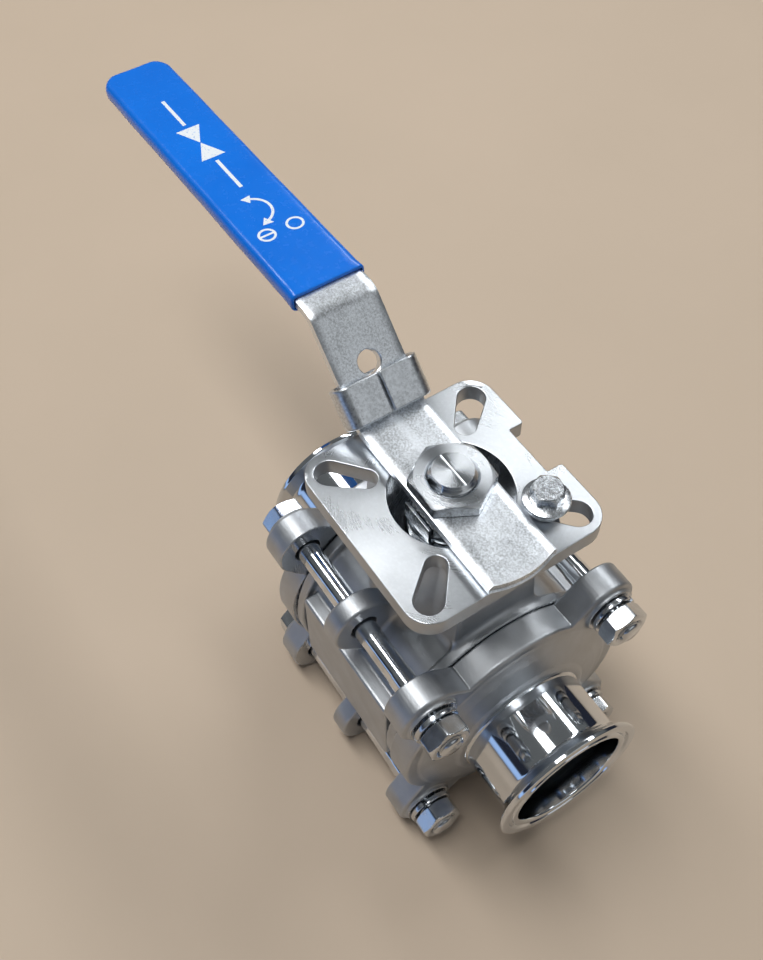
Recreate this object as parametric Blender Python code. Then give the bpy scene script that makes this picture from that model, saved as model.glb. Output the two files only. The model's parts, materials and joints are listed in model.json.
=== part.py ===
"""Three piece clamp end ball valve, 1 1/2 inch, direct mount pad, lever with sliding lock collar.
Flow axis along X, stem axis along Z through the origin, standing plane z = 0."""
import math

import bmesh
import bpy
from mathutils import Vector

for old in list(bpy.data.objects):
    bpy.data.objects.remove(old, do_unlink=True)

# ---- driving dimensions, millimetres ---------------------------------------------------------
MM = 0.001
GAP = 0.3                # running and seating clearance kept between pieces
ZC = 42.6                # flow axis above the standing plane
ROOT = math.sqrt(0.5)

FERRULE_R = 25.25        # clamp ferrule flange, 50.5 across
FERRULE_X = 66.5         # gasket face from the stem axis
TUBE_R = 21.0
BORE_R = 19.0
LIP_T = 1.6
GROOVE_R = 21.75
GROOVE_W = 0.9

CAP_X0 = 28.9            # cap inner face
CAP_X1 = 38.2            # cap flange front face
CAP_TOP = 39.4
CAP_SIDE = 40.4
CREASE = (18.5, 33.9)
HUB_X = 42.6
SOCKET_R = TUBE_R + GAP
SOCKET_X = 40.6
BOLT_Y = 32.2            # through bolts at +-BOLT_Y, +-BOLT_Y around the flow axis
EAR_R = 10.0
BOSS_R = 8.3
BOSS_X = 39.5
BOLT_HOLE_R = 4.4

BODY_X = 28.6
BODY_FLANGE_R = 39.0
BODY_FLANGE_T = 3.8
BARREL_R = 36.4
PANEL_Y = 38.4
PANEL_X = 23.6
PANEL_Z = 15.5
LUG_R = 10.2
LUG_X = 3.5
CAVITY_R = 30.0
GASKET_R = 33.2
GASKET_X = 25.4
FOOT_X, FOOT_Y = 21.0, 15.0

PAD_TOP = 72.2
PAD_T = 6.0
PAD_A = 32.1
PAD_CORNER = 8.0
NOTCH_W = 8.9
NOTCH_IN = 26.9
SLOT_IN = (24.3, 3.3)
SLOT_OUT = (35.2, 4.3)
RECESS_R = 18.2
RECESS_Z = 57.0
NECK_R = 20.4
RIB_X, RIB_Y = 24.2, 12.4
BOX_R = 13.0             # stuffing box
BOX_Z = 44.0
STEM_R = 9.0
STEM_HOLE_R = 9.3
SHOULDER_R = 12.0
SHOULDER_BORE_R = 12.6
SHOULDER_TOP = 33.6

BALL_R = 29.0
TANG_X = 4.0
TANG_Y = 9.0
TANG_Z = 24.6

THREAD_R = 7.0
FLAT_LOW = 6.5
FLAT_HIGH = 6.0
STEP_Z = 59.4
SEAT_Z = 72.6
STEM_TOP = 83.2

BAR_TOP = 76.4
BAR_T = 3.5
BAR_W = 11.2
TAIL_X = 32.5
TAIL_BULGE = 2.0
BEND1_X = -29.7
BEND2_X = -55.3
BEND2_Z = 102.0
GRIP_END_X = -191.5
GRIP_END_Z = 97.6
BEND_R = 5.75            # centre line radius of both bends
LOCK_HOLE_R = 3.6
LOCK_HOLE_S = 16.8

SLEEVE_NEAR_X = -62.6
SLEEVE_W = 12.3
SLEEVE_T = 1.4

COLLAR_W = 14.2
COLLAR_T = 1.8
COLLAR_TOP = 3.1
COLLAR_BOTTOM = -6.4
COLLAR_S0 = 1.0
COLLAR_S1 = 13.6
TONGUE_W = 8.0

NUT_AF = 22.0
NUT_Z0 = 76.7
NUT_Z1 = 80.8
GLAND_AF = 20.0

STOP_XY = 18.5
STOP_SLEEVE_R = 5.0
STOP_FLANGE_R = 6.9
STOP_AF = 8.5

N = 18                   # facets round small pieces
NB = 36                  # facets round large pieces
NS = 24                  # facets round the stem and the holes keyed to it

# ---- materials --------------------------------------------------------------------------------
FINISH = {
    "cast_stainless": ((0.50, 0.50, 0.49), 0.42, 1.0),
    "brushed_stainless": ((0.60, 0.60, 0.59), 0.30, 1.0),
    "polished_stainless": ((0.72, 0.72, 0.71), 0.10, 1.0),
    "bright_fasteners": ((0.66, 0.66, 0.65), 0.18, 1.0),
    "ptfe": ((0.86, 0.86, 0.83), 0.45, 0.0),
    "blue_vinyl": ((0.0, 0.18, 0.75), 0.28, 0.0),
}


def material(node, finish):
    colour, rough, metal = FINISH[finish]
    mat = bpy.data.materials.new("mat_" + node)
    mat.use_nodes = True
    shader = mat.node_tree.nodes["Principled BSDF"]
    shader.inputs["Base Color"].default_value = (*colour, 1.0)
    shader.inputs["Roughness"].default_value = rough
    shader.inputs["Metallic"].default_value = metal
    mat.diffuse_color = (*colour, 1.0)
    return mat


def piece(name, points, faces, finish=None, origin=(0.0, 0.0, 0.0)):
    """One mesh object from points in millimetres; origin is where its own origin goes."""
    ox, oy, oz = origin
    mesh = bpy.data.meshes.new(name)
    mesh.from_pydata([((x - ox) * MM, (y - oy) * MM, (z - oz) * MM) for x, y, z in points], [], faces)
    bm = bmesh.new()
    bm.from_mesh(mesh)
    bmesh.ops.recalc_face_normals(bm, faces=bm.faces)
    bm.to_mesh(mesh)
    bm.free()
    mesh.polygons.foreach_set("use_smooth", [True] * len(mesh.polygons))
    mesh.set_sharp_from_angle(angle=math.radians(32.0))
    obj = bpy.data.objects.new(name, mesh)
    obj.location = (ox * MM, oy * MM, oz * MM)
    bpy.context.scene.collection.objects.link(obj)
    if finish:
        mesh.materials.append(material(name, finish))
    return obj


def helper(name, points, faces, origin=(0.0, 0.0, 0.0)):
    """A hidden solid that only feeds a Boolean."""
    obj = piece(name, points, faces, None, origin)
    obj.hide_render = True
    obj.display_type = "WIRE"
    return obj


def boolean(obj, other, operation):
    mod = obj.modifiers.new(operation.lower() + "_" + other.name, "BOOLEAN")
    mod.object = other
    mod.operation = operation
    mod.solver = "EXACT"


def ringed(rings, closed):
    """Skin over rings of equal length: closed joins the last ring to the first, else flat ends."""
    n = len(rings[0])
    points = [p for ring in rings for p in ring]
    faces = []
    count = len(rings)
    for i in range(count if closed else count - 1):
        a, b = i * n, ((i + 1) % count) * n
        for j in range(n):
            k = (j + 1) % n
            faces.append((a + j, a + k, b + k, b + j))
    if not closed:
        faces.append(tuple(reversed(range(n))))
        faces.append(tuple(range((count - 1) * n, count * n)))
    return points, faces


def merged(*parts):
    """Several separate solids as one list of points and faces."""
    points, faces = [], []
    for more_points, more_faces in parts:
        base = len(points)
        points += more_points
        faces += [tuple(base + i for i in face) for face in more_faces]
    return points, faces


def round_shape(r):
    return lambda t: r


def hex_shape(af, limit=None):
    """Distance from the axis to a hexagon's side, corners at multiples of 60 degrees."""
    def rule(t):
        off = (t + math.pi / 6) % (math.pi / 3) - math.pi / 6
        r = (af / 2) / math.cos(math.pi / 6 - abs(off))
        return r if limit is None else min(r, limit)
    return rule


def flat_shape(r, c):
    """Circle with two flats facing +-Y."""
    return lambda t: min(r, c / max(1e-9, abs(math.sin(t))))


def box_shape(hx, hy):
    return lambda t: min(hx / max(1e-9, abs(math.cos(t))), hy / max(1e-9, abs(math.sin(t))))


def lathe(profile, axis, centre, n=N, turn=0.0, closed=False):
    """Rings at (height, radius or shape) round the axis X or Z through centre."""
    cx, cy, cz = centre
    rings = []
    for height, shape in profile:
        rule = shape if callable(shape) else round_shape(shape)
        ring = []
        for j in range(n):
            t = 2 * math.pi * j / n
            r = rule(t)
            c, s = r * math.cos(t + turn), r * math.sin(t + turn)
            if axis == "x":
                ring.append((cx + height, cy + c, cz + s))
            else:
                ring.append((cx + c, cy + s, cz + height))
        rings.append(ring)
    return ringed(rings, closed)


def prism(outline, axis, low, high, lift=ZC):
    """Outline of (y, z) swept along X, or of (x, y) swept along Z, or of (x, z) swept along Y."""
    rings = []
    for level in (low, high):
        if axis == "x":
            rings.append([(level, a, b + lift) for a, b in outline])
        elif axis == "z":
            rings.append([(a, b, level + lift) for a, b in outline])
        else:
            rings.append([(a, level, b + lift) for a, b in outline])
    return ringed(rings, False)


def hex_head(z0, z1, af, up):
    """Rings of a hexagon with one chamfered end."""
    corner = af / math.sqrt(3)
    limit = 0.475 * af
    drop = (corner - limit) * math.tan(math.radians(30))
    if up:
        return [(z0, hex_shape(af)), (z1 - drop, hex_shape(af)), (z1, round_shape(limit))]
    return [(z0, round_shape(limit)), (z0 + drop, hex_shape(af)), (z1, hex_shape(af))]


def arc(cx, cy, r, start, end, steps):
    out = []
    for i in range(steps + 1):
        t = math.radians(start + (end - start) * i / steps)
        out.append((cx + r * math.cos(t), cy + r * math.sin(t)))
    return out


# ---- cap and body outlines ----------------------------------------------------------------------
def ear_tangent():
    """Angle on the ear circle where the flank from the crease touches it, first quadrant."""
    dy, dz = BOLT_Y - CREASE[0], BOLT_Y - CREASE[1]
    dist = math.hypot(dy, dz)
    heading = math.atan2(dz, dy) + math.asin(EAR_R / dist)
    return math.degrees(heading + math.pi / 2)


def rim(apex):
    """Centre height and radius of the arc through the apex and the crease."""
    a, (y, z) = apex, CREASE
    centre = (y * y + z * z - a * a) / (2 * (z - a))
    return centre, a - centre


def cap_outline():
    quadrant = []
    centre, r = rim(CAP_SIDE)
    for i in range(4):
        t = math.atan2(CREASE[0], CREASE[1] - centre) * i / 4
        quadrant.append((centre + r * math.cos(t), r * math.sin(t)))
    quadrant.append((CREASE[1], CREASE[0]))
    touch = ear_tangent()
    quadrant += arc(BOLT_Y, BOLT_Y, EAR_R, 90.0 - touch, touch, 7)
    quadrant.append(CREASE)
    centre, r = rim(CAP_TOP)
    last = math.atan2(CREASE[0], CREASE[1] - centre)
    for i in range(1, 4):
        t = last * (1 - i / 4)
        quadrant.append((r * math.sin(t), centre + r * math.cos(t)))
    first = quadrant
    top = [(0.0, CAP_TOP)]
    second = [(-y, z) for y, z in reversed(first)]
    half = first + top + second
    lower = [(y, -z) for y, z in reversed(half[1:-1])]
    return half + lower


def bolt_spots():
    return [(sy * BOLT_Y, sz * BOLT_Y) for sy in (1, -1) for sz in (1, -1)]


def end_cap(name, side):
    """Clamped flange with ears, hub and bore; side +1 is the front."""
    body = prism([(y, z) for y, z in cap_outline()], "x", CAP_X0 * side, CAP_X1 * side)
    cap = piece(name, *body, "cast_stainless", origin=(side * CAP_X0, 0.0, ZC))
    hub = [(CAP_X1 - 2.0, 35.4), (CAP_X1 + 0.2, 35.4), (CAP_X1 + 1.6, 31.0), (CAP_X1 + 2.7, 27.0),
           (CAP_X1 + 3.5, 24.4), (HUB_X, 23.2)]
    solids = [lathe([(side * x, r) for x, r in hub], "x", (0, 0, ZC), NB)]
    holes = [lathe([(side * (CAP_X0 - 1), BORE_R), (side * SOCKET_X, BORE_R), (side * SOCKET_X, SOCKET_R),
                    (side * (HUB_X + 1), SOCKET_R)], "x", (0, 0, ZC), NB)]
    for y, z in bolt_spots():
        solids.append(lathe([(side * (CAP_X1 - 1), BOSS_R), (side * BOSS_X, BOSS_R)], "x", (0, y, z + ZC), N))
        holes.append(lathe([(side * (CAP_X0 - 1), BOLT_HOLE_R), (side * (BOSS_X + 1), BOLT_HOLE_R)],
                           "x", (0, y, z + ZC), 12))
    boolean(cap, helper(name + ".hub", *merged(*solids)), "UNION")
    boolean(cap, helper(name + ".holes", *merged(*holes)), "DIFFERENCE")
    return cap


def ferrule(name, side):
    """Clamp ferrule stub: tube, conical back of the lip, gasket groove in the face."""
    x = FERRULE_X
    profile = [(SOCKET_X + GAP, BORE_R), (SOCKET_X + GAP, TUBE_R), (x - 4.6, TUBE_R), (x - 3.6, TUBE_R + 0.5),
               (x - LIP_T, FERRULE_R - 0.35), (x - LIP_T + 0.3, FERRULE_R), (x - 0.3, FERRULE_R),
               (x, FERRULE_R - 0.3), (x, GROOVE_R + GROOVE_W), (x - 0.8, GROOVE_R + 0.4),
               (x - 0.8, GROOVE_R - 0.4), (x, GROOVE_R - GROOVE_W), (x, BORE_R + 0.7), (x - 0.9, BORE_R)]
    shape = lathe([(side * a, r) for a, r in profile], "x", (0, 0, ZC), NB, closed=True)
    return piece(name, *shape, "polished_stainless", origin=(side * FERRULE_X, 0.0, ZC))


def pad_outline():
    """Rounded square with one notch in the +Y edge and one in the -X edge, anticlockwise."""
    a, c = PAD_A, PAD_A - PAD_CORNER
    points = arc(c, -c, PAD_CORNER, -90, 0, 4)
    points += arc(c, c, PAD_CORNER, 0, 90, 4)
    points += [(NOTCH_W, a), (NOTCH_W, NOTCH_IN), (-NOTCH_W, NOTCH_IN), (-NOTCH_W, a)]
    points += arc(-c, c, PAD_CORNER, 90, 180, 4)
    points += [(-a, NOTCH_W), (-NOTCH_IN, NOTCH_W), (-NOTCH_IN, -NOTCH_W), (-a, -NOTCH_W)]
    points += arc(-c, -c, PAD_CORNER, 180, 270, 4)
    return points


def slot_outline(angle):
    """Tapered slot between two hole circles on the diagonal."""
    ca, sa = math.cos(math.radians(angle)), math.sin(math.radians(angle))
    out = arc(SLOT_OUT[0], 0, SLOT_OUT[1], -90, 90, 6) + arc(SLOT_IN[0], 0, SLOT_IN[1], 90, 270, 6)
    return [(x * ca - y * sa, x * sa + y * ca) for x, y in out]


def lug_outline(sy, sz):
    """Round lug at a bolt with straight flanks running in to the barrel."""
    out = arc(0, 0, LUG_R, -90, 90, 7) + [(-18.0, LUG_R), (-18.0, -LUG_R)]
    spun = [((x - y) * ROOT, (x + y) * ROOT) for x, y in out]
    return [(sy * (BOLT_Y + u), sz * (BOLT_Y + v)) for u, v in spun]


def tapered_block(x0, y0, z0, x1, y1, z1):
    """Block with half sizes x0, y0 at z0 and x1, y1 at z1 (z from the flow axis)."""
    rings = []
    for hx, hy, z in ((x0, y0, z0), (x1, y1, z1)):
        rings.append([(hx, hy, z + ZC), (-hx, hy, z + ZC), (-hx, -hy, z + ZC), (hx, -hy, z + ZC)])
    return ringed(rings, False)


def centre_body():
    b, f = BODY_X, BODY_X - BODY_FLANGE_T
    barrel = [(-b, BODY_FLANGE_R - 0.6), (-b + 0.6, BODY_FLANGE_R), (-f, BODY_FLANGE_R), (-f + 1.4, BARREL_R),
              (f - 1.4, BARREL_R), (f, BODY_FLANGE_R), (b - 0.6, BODY_FLANGE_R), (b, BODY_FLANGE_R - 0.6)]
    body = piece("body", *lathe(barrel, "x", (0, 0, ZC), NB), "cast_stainless", origin=(0, 0, ZC))
    lugs = [prism(lug_outline(sy, sz), "x", -LUG_X, LUG_X) for sy in (1, -1) for sz in (1, -1)]
    boolean(body, helper("body.lugs", *merged(*lugs)), "UNION")
    panels = []
    for side in (1, -1):
        ring0 = [(PANEL_X, side * 30.5, PANEL_Z), (-PANEL_X, side * 30.5, PANEL_Z),
                 (-PANEL_X, side * 30.5, -PANEL_Z), (PANEL_X, side * 30.5, -PANEL_Z)]
        ring1 = [(x, side * (PANEL_Y - 1.2), z) for x, _, z in ring0]
        ring2 = [(x * 0.97, side * PANEL_Y, z * 0.93) for x, _, z in ring0]
        panels.append(ringed([[(x, y, z + ZC) for x, y, z in ring] for ring in (ring0, ring1, ring2)], False))
    panels.append(tapered_block(FOOT_X + 1, FOOT_Y + 1, -31.0, FOOT_X, FOOT_Y, -ZC))
    boolean(body, helper("body.panels", *merged(*panels)), "UNION")
    boolean(body, helper("body.rib", *tapered_block(RIB_X + 1, RIB_Y + 3, 26.0, RIB_X, RIB_Y, PAD_TOP - 3)), "UNION")
    neck = [(26.0, NECK_R + 2.0), (46.0, NECK_R), (PAD_TOP - 2.5, NECK_R)]
    boolean(body, helper("body.neck", *lathe(neck, "z", (0, 0, ZC), NB)), "UNION")
    boolean(body, helper("body.pad", *prism(pad_outline(), "z", PAD_TOP - PAD_T, PAD_TOP)), "UNION")
    bore = [(-b - 1, GASKET_R), (-GASKET_X, GASKET_R), (-GASKET_X, CAVITY_R), (GASKET_X, CAVITY_R),
            (GASKET_X, GASKET_R), (b + 1, GASKET_R)]
    boolean(body, helper("body.bore", *lathe(bore, "x", (0, 0, ZC), NB)), "DIFFERENCE")
    well = [(20.0, SHOULDER_BORE_R), (SHOULDER_TOP, SHOULDER_BORE_R), (SHOULDER_TOP, STEM_HOLE_R),
            (BOX_Z, STEM_HOLE_R), (BOX_Z, BOX_R), (RECESS_Z, BOX_R), (RECESS_Z, RECESS_R),
            (PAD_TOP + 1, RECESS_R)]
    boolean(body, helper("body.well", *lathe(well, "z", (0, 0, ZC), NS)), "DIFFERENCE")
    cuts = [prism(slot_outline(angle), "z", PAD_TOP - PAD_T - 2.5, PAD_TOP + 1) for angle in (45, 135, 225, 315)]
    for y, z in bolt_spots():
        cuts.append(lathe([(-LUG_X - 1, BOLT_HOLE_R), (LUG_X + 1, BOLT_HOLE_R)], "x", (0, y, z + ZC), 12))
    boolean(body, helper("body.cuts", *merged(*cuts)), "DIFFERENCE")
    return body


def ball():
    """Ball with through bore along X and the stem slot across its top."""
    edge = math.degrees(math.asin(BORE_R / BALL_R))
    profile = []
    for i in range(11):
        t = math.radians(edge + (180 - 2 * edge) * i / 10)
        profile.append((BALL_R * math.cos(t), BALL_R * math.sin(t)))
    obj = piece("ball", *lathe(profile, "x", (0, 0, ZC), 30, closed=True), "polished_stainless", origin=(0, 0, ZC))
    half = TANG_X + GAP
    cut = [(half, TANG_Z - GAP), (half, BALL_R + 2), (-half, BALL_R + 2), (-half, TANG_Z - GAP)]
    boolean(obj, helper("ball.slot", *prism(cut, "y", -BALL_R, BALL_R)), "DIFFERENCE")
    return obj


def seat(name, side):
    """PTFE ring whose inner face follows the ball."""
    r = BALL_R + GAP
    profile = [(BODY_X, BORE_R + 0.3), (BODY_X, CAVITY_R - GAP), (15.2, CAVITY_R - GAP)]
    for x in (15.2, 18.4, 21.4):
        profile.append((x, math.sqrt(r * r - x * x)))
    profile.append((22.2, BORE_R + 0.3))
    shape = lathe([(side * x, a) for x, a in profile], "x", (0, 0, ZC), 30, closed=True)
    return piece(name, *shape, "ptfe", origin=(side * BODY_X, 0, ZC))


def ring(name, axis, centre, r0, r1, a0, a1, finish, n=N):
    profile = [(a0, r0), (a0, r1), (a1, r1), (a1, r0)]
    return piece(name, *lathe(profile, axis, centre, n, closed=True), finish, origin=centre)


def stem():
    """Tang, thrust shoulder, shaft, threaded end with two flats, domed and chamfered top."""
    profile = [(TANG_Z, box_shape(TANG_X, TANG_Y)), (29.8, box_shape(TANG_X, TANG_Y)),
               (29.8, SHOULDER_R), (31.8, SHOULDER_R), (31.8, STEM_R), (STEP_Z - 0.6, STEM_R),
               (STEP_Z, flat_shape(THREAD_R, FLAT_LOW)), (SEAT_Z, flat_shape(THREAD_R, FLAT_LOW)),
               (SEAT_Z + 0.05, flat_shape(THREAD_R, FLAT_HIGH)), (STEM_TOP - 1.2, flat_shape(THREAD_R, FLAT_HIGH)),
               (STEM_TOP - 0.2, flat_shape(THREAD_R - 0.85, FLAT_HIGH - 0.02)),
               (STEM_TOP, flat_shape(THREAD_R - 1.05, FLAT_HIGH - 0.05))]
    return piece("stem", *lathe(profile, "z", (0, 0, ZC), NS), "polished_stainless", origin=(0, 0, ZC))


def nut(name, axis, centre, a0, a1, af, bore, finish, turn=0.0, both=True):
    """Hexagon nut, chamfered at both ends or at the far end only."""
    corner = af / math.sqrt(3)
    limit = 0.475 * af
    drop = (corner - limit) * math.tan(math.radians(30))
    sign = 1 if a1 > a0 else -1
    profile = [(a0, bore)]
    profile += [(a0, limit), (a0 + sign * drop, hex_shape(af))] if both else [(a0, hex_shape(af))]
    profile += [(a1 - sign * drop, hex_shape(af)), (a1, limit), (a1, bore + 0.5), (a1 - sign * 0.5, bore)]
    return piece(name, *lathe(profile, axis, centre, N, turn, True), finish, origin=centre)


# ---- lever path ---------------------------------------------------------------------------------
def lever_path():
    """Stations of the lever's top surface from tail to grip end: x, z, and the upward normal."""
    grip = math.atan2(BEND2_Z - GRIP_END_Z, BEND2_X - GRIP_END_X)
    slope_top = Vector((BEND2_X, BEND2_Z))
    corner1 = Vector((BEND1_X, BAR_TOP))
    headings = [Vector((-1.0, 0.0)), (slope_top - corner1).normalized(), Vector((-math.cos(grip), -math.sin(grip)))]
    end = Vector((GRIP_END_X, GRIP_END_Z))
    stations = [(Vector((TAIL_X, BAR_TOP)), headings[0])]
    for corner, before, after, inner in ((corner1, headings[0], headings[1], True),
                                         (slope_top, headings[1], headings[2], False)):
        turn = before.angle_signed(after)
        r = BEND_R - BAR_T / 2 if inner else BEND_R + BAR_T / 2
        reach = r * math.tan(abs(turn) / 2)
        start = corner - before * reach
        steps = 4
        for i in range(steps + 1):
            part = turn * i / steps
            ca, sa = math.cos(part), math.sin(part)
            heading = Vector((before.x * ca + before.y * sa, before.y * ca - before.x * sa))
            side = Vector((before.y, -before.x)) if turn > 0 else Vector((-before.y, before.x))
            centre = start + side * r
            spoke = start - centre
            point = centre + Vector((spoke.x * ca + spoke.y * sa, spoke.y * ca - spoke.x * sa))
            stations.append((point, heading))
    stations.append((end, headings[2]))
    return stations


def normal_of(heading):
    """Upward normal of the lever's top for a heading towards -X."""
    return Vector((heading.y, -heading.x))


def handle():
    rows = []
    lanes = [-1.0, -0.6, -0.2, 0.2, 0.6, 1.0]
    stations = lever_path()
    stations[-1] = (stations[-1][0] - stations[-1][1] * 3.0, stations[-1][1])
    far = stations[-1]
    stations.insert(-1, (far[0] - far[1] * 7.0, far[1]))
    for i, (point, heading) in enumerate(stations):
        up = normal_of(heading)
        top, under = [], []
        for lane in lanes:
            width = BAR_W
            if i == len(stations) - 1:
                width = BAR_W - 4.5
            move = 0.0
            if i == 0:
                move = TAIL_BULGE * (1 - lane * lane)
            place = point - heading * move
            low = place - up * BAR_T
            top.append((place.x, lane * width, place.y + ZC))
            under.append((low.x, lane * width, low.y + ZC))
        rows.append(top + list(reversed(under)))
    obj = piece("handle", *ringed(rows, False), "brushed_stainless", origin=(0, 0, BAR_TOP + ZC))
    dee = lathe([(BAR_TOP - BAR_T - 2, flat_shape(THREAD_R + GAP, FLAT_HIGH + GAP)),
                 (BAR_TOP + 2, flat_shape(THREAD_R + GAP, FLAT_HIGH + GAP))], "z", (0, 0, ZC), NS)
    mid = slope_point(LOCK_HOLE_S, 0.0)
    up = Vector((ROOT, ROOT))
    along = Vector((-ROOT, ROOT))
    rings = []
    for depth in (2.0, -BAR_T - 2.0):
        rings.append([])
        for j in range(16):
            t = 2 * math.pi * j / 16
            place = mid + up * depth + along * (LOCK_HOLE_R * math.cos(t))
            rings[-1].append((place.x, LOCK_HOLE_R * math.sin(t), place.y + ZC))
    boolean(obj, helper("handle.holes", *merged(dee, ringed(rings, False))), "DIFFERENCE")
    return obj


def slope_point(s, n):
    """Point at s up the lever's slope from the lower bend and n above its top surface."""
    return Vector((BEND1_X - ROOT * s + ROOT * n, BAR_TOP + ROOT * s + ROOT * n))


def rounded_section(half, low, high, r, steps=2):
    """Rounded rectangle in (y, n), starting at the top middle of the right side."""
    out = []
    for cy, cn, start in ((half - r, high - r, 90), (half - r, low + r, 0), (-half + r, low + r, -90),
                          (-half + r, high - r, -180)):
        out += arc(cy, cn, r, start, start - 90, steps)
    return out


def sleeve():
    """Dipped vinyl sheath over the grip, open at the end nearest the valve."""
    stations = lever_path()
    end, heading = stations[-1]
    up = normal_of(heading)
    length = (end.x - SLEEVE_NEAR_X) / heading.x
    near = end - heading * length
    rings = []

    def section(distance, half, low, high, r):
        base = near + heading * distance
        return [((base + up * n).x, y, (base + up * n).y + ZC) for y, n in rounded_section(half, low, high, r)]

    gap = GAP
    rings.append(section(length - 2.4, BAR_W - 4.2 + gap, -BAR_T - gap, gap, 0.6))
    rings.append(section(length - 9.8, BAR_W + gap, -BAR_T - gap, gap, 0.6))
    rings.append(section(0.0, BAR_W + gap, -BAR_T - gap, gap, 0.6))
    low, high = -BAR_T - SLEEVE_T, SLEEVE_T
    rings.append(section(0.0, SLEEVE_W - 0.4, low + 0.4, high - 0.4, 1.6))
    rings.append(section(0.5, SLEEVE_W, low, high, 2.0))
    for i in range(7):
        t = math.radians(90.0 * i / 6 * 0.94)
        back = 8.0 * (1 - math.sin(t))
        tuck = 8.0 * (1 - math.cos(t))
        thin = 0.0 if i < 5 else (0.35 if i == 5 else 1.1)
        rings.append(section(length - back, SLEEVE_W - tuck, low + thin, high - thin, 2.0 - thin))
    return piece("grip_sleeve", *ringed(rings, False), "blue_vinyl", origin=(0, 0, BEND2_Z + ZC))


def collar():
    """Sheet collar folded round the lever, seam on top, with a tongue on its underside."""
    half, low, high, t = COLLAR_W, COLLAR_BOTTOM, COLLAR_TOP, COLLAR_T
    outer, inner = [(0.25, high)], [(0.25, high - t)]
    r0, r1 = 4.2, 2.4
    for cy, cn0, start in ((half - r0, high - r0, 90), (half - r0, low + r0, 0), (-half + r0, low + r0, -90),
                           (-half + r0, high - r0, -180)):
        outer += arc(cy, cn0, r0, start, start - 90, 4)
        inner += arc(cy, cn0, r1, start, start - 90, 4)
    outer.append((-0.25, high))
    inner.append((-0.25, high - t))
    count = len(outer)
    points, faces = [], []
    for s in (COLLAR_S0, COLLAR_S1):
        for loop in (outer, inner):
            for y, n in loop:
                place = slope_point(s, n)
                points.append((place.x, y, place.y + ZC))
    o0, i0, o1, i1 = 0, count, 2 * count, 3 * count
    for j in range(count - 1):
        k = j + 1
        faces += [(o0 + j, o0 + k, o1 + k, o1 + j), (i0 + j, i1 + j, i1 + k, i0 + k),
                  (o0 + j, i0 + j, i0 + k, o0 + k), (o1 + j, o1 + k, i1 + k, i1 + j)]
    for j in (0, count - 1):
        faces.append((o0 + j, o1 + j, i1 + j, i0 + j))
    mid = slope_point(COLLAR_S0, 0.0)
    obj = piece("lock_collar", points, faces, "brushed_stainless", origin=(mid.x, 0, mid.y + ZC))
    a = slope_point(3.2, -5.0)
    b = slope_point(3.2, -6.1)
    c = slope_point(1.6, -6.3)
    tongue = [(a.x, a.y), (b.x, b.y), (c.x, c.y), (-34.9, PAD_TOP + 0.4), (-31.9, PAD_TOP + 0.4),
              (-31.9, PAD_TOP + 1.0), (-33.4, PAD_TOP + 1.6)]
    boolean(obj, helper("lock_collar.tongue", *prism(tongue, "y", -TONGUE_W, TONGUE_W)), "UNION")
    return obj


def tab_washer():
    """Washer keyed to the stem's flats with one tab folded up along the gland nut."""
    z0, z1 = 62.6, 63.6
    profile = [(z0, flat_shape(THREAD_R + GAP, FLAT_LOW + GAP)), (z0, 11.2), (z1, 11.2),
               (z1, flat_shape(THREAD_R + GAP, FLAT_LOW + GAP))]
    obj = piece("tab_washer", *lathe(profile, "z", (0, 0, ZC), NS, closed=True), "bright_fasteners",
                origin=(0, 0, z0 + ZC))
    tab = [(-5.9, -11.6), (5.9, -11.6), (5.9, -10.6), (-5.9, -10.6)]
    base = [(-6.0, -11.7), (6.0, -11.7), (6.0, -8.9), (-6.0, -8.9)]
    upright = prism(tab, "z", z1 - 0.6, 69.8)
    foot = prism(base, "z", z0 + 0.05, z1 - 0.05)
    boolean(obj, helper("tab_washer.foot", *foot), "UNION")
    boolean(obj, helper("tab_washer.tab", *upright), "UNION")
    return obj


def disc_spring(name, z_in, z_out):
    """Coned disc spring: z_in is its underside at the bore, z_out at the rim."""
    profile = [(z_in, 8.4), (z_out, 12.4), (z_out + 0.7, 12.4), (z_in + 0.7, 8.4)]
    return piece(name, *lathe(profile, "z", (0, 0, ZC), N, closed=True), "bright_fasteners",
                 origin=(0, 0, min(z_in, z_out) + ZC))


def body_bolt(name, y, z, turn):
    """Long hexagon bolt, head behind the rear cap, thread out of the front one."""
    head0 = -BOSS_X - GAP
    profile = hex_head(head0 - 5.4, head0, 13.0, False)
    profile += [(head0, 3.7), (22.0, 3.7), (22.4, 3.95), (48.4, 3.95), (49.3, 3.2)]
    return piece(name, *lathe(profile, "x", (0, y, z + ZC), N, turn), "bright_fasteners", origin=(head0, y, z + ZC))


def spring_washer(name, y, z, turn):
    """Split spring washer, its ends slightly apart."""
    x0, x1 = BOSS_X + GAP, BOSS_X + GAP + 2.0
    rings = []
    for j in range(15):
        t = turn + math.radians(6 + 348 * j / 14)
        c, s = math.cos(t), math.sin(t)
        rings.append([(x, y + r * c, z + ZC + r * s) for x, r in ((x0, 4.3), (x0, 7.3), (x1, 7.3), (x1, 4.3))])
    return piece(name, *ringed(rings, False), "bright_fasteners", origin=(x0, y, z + ZC))


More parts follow.
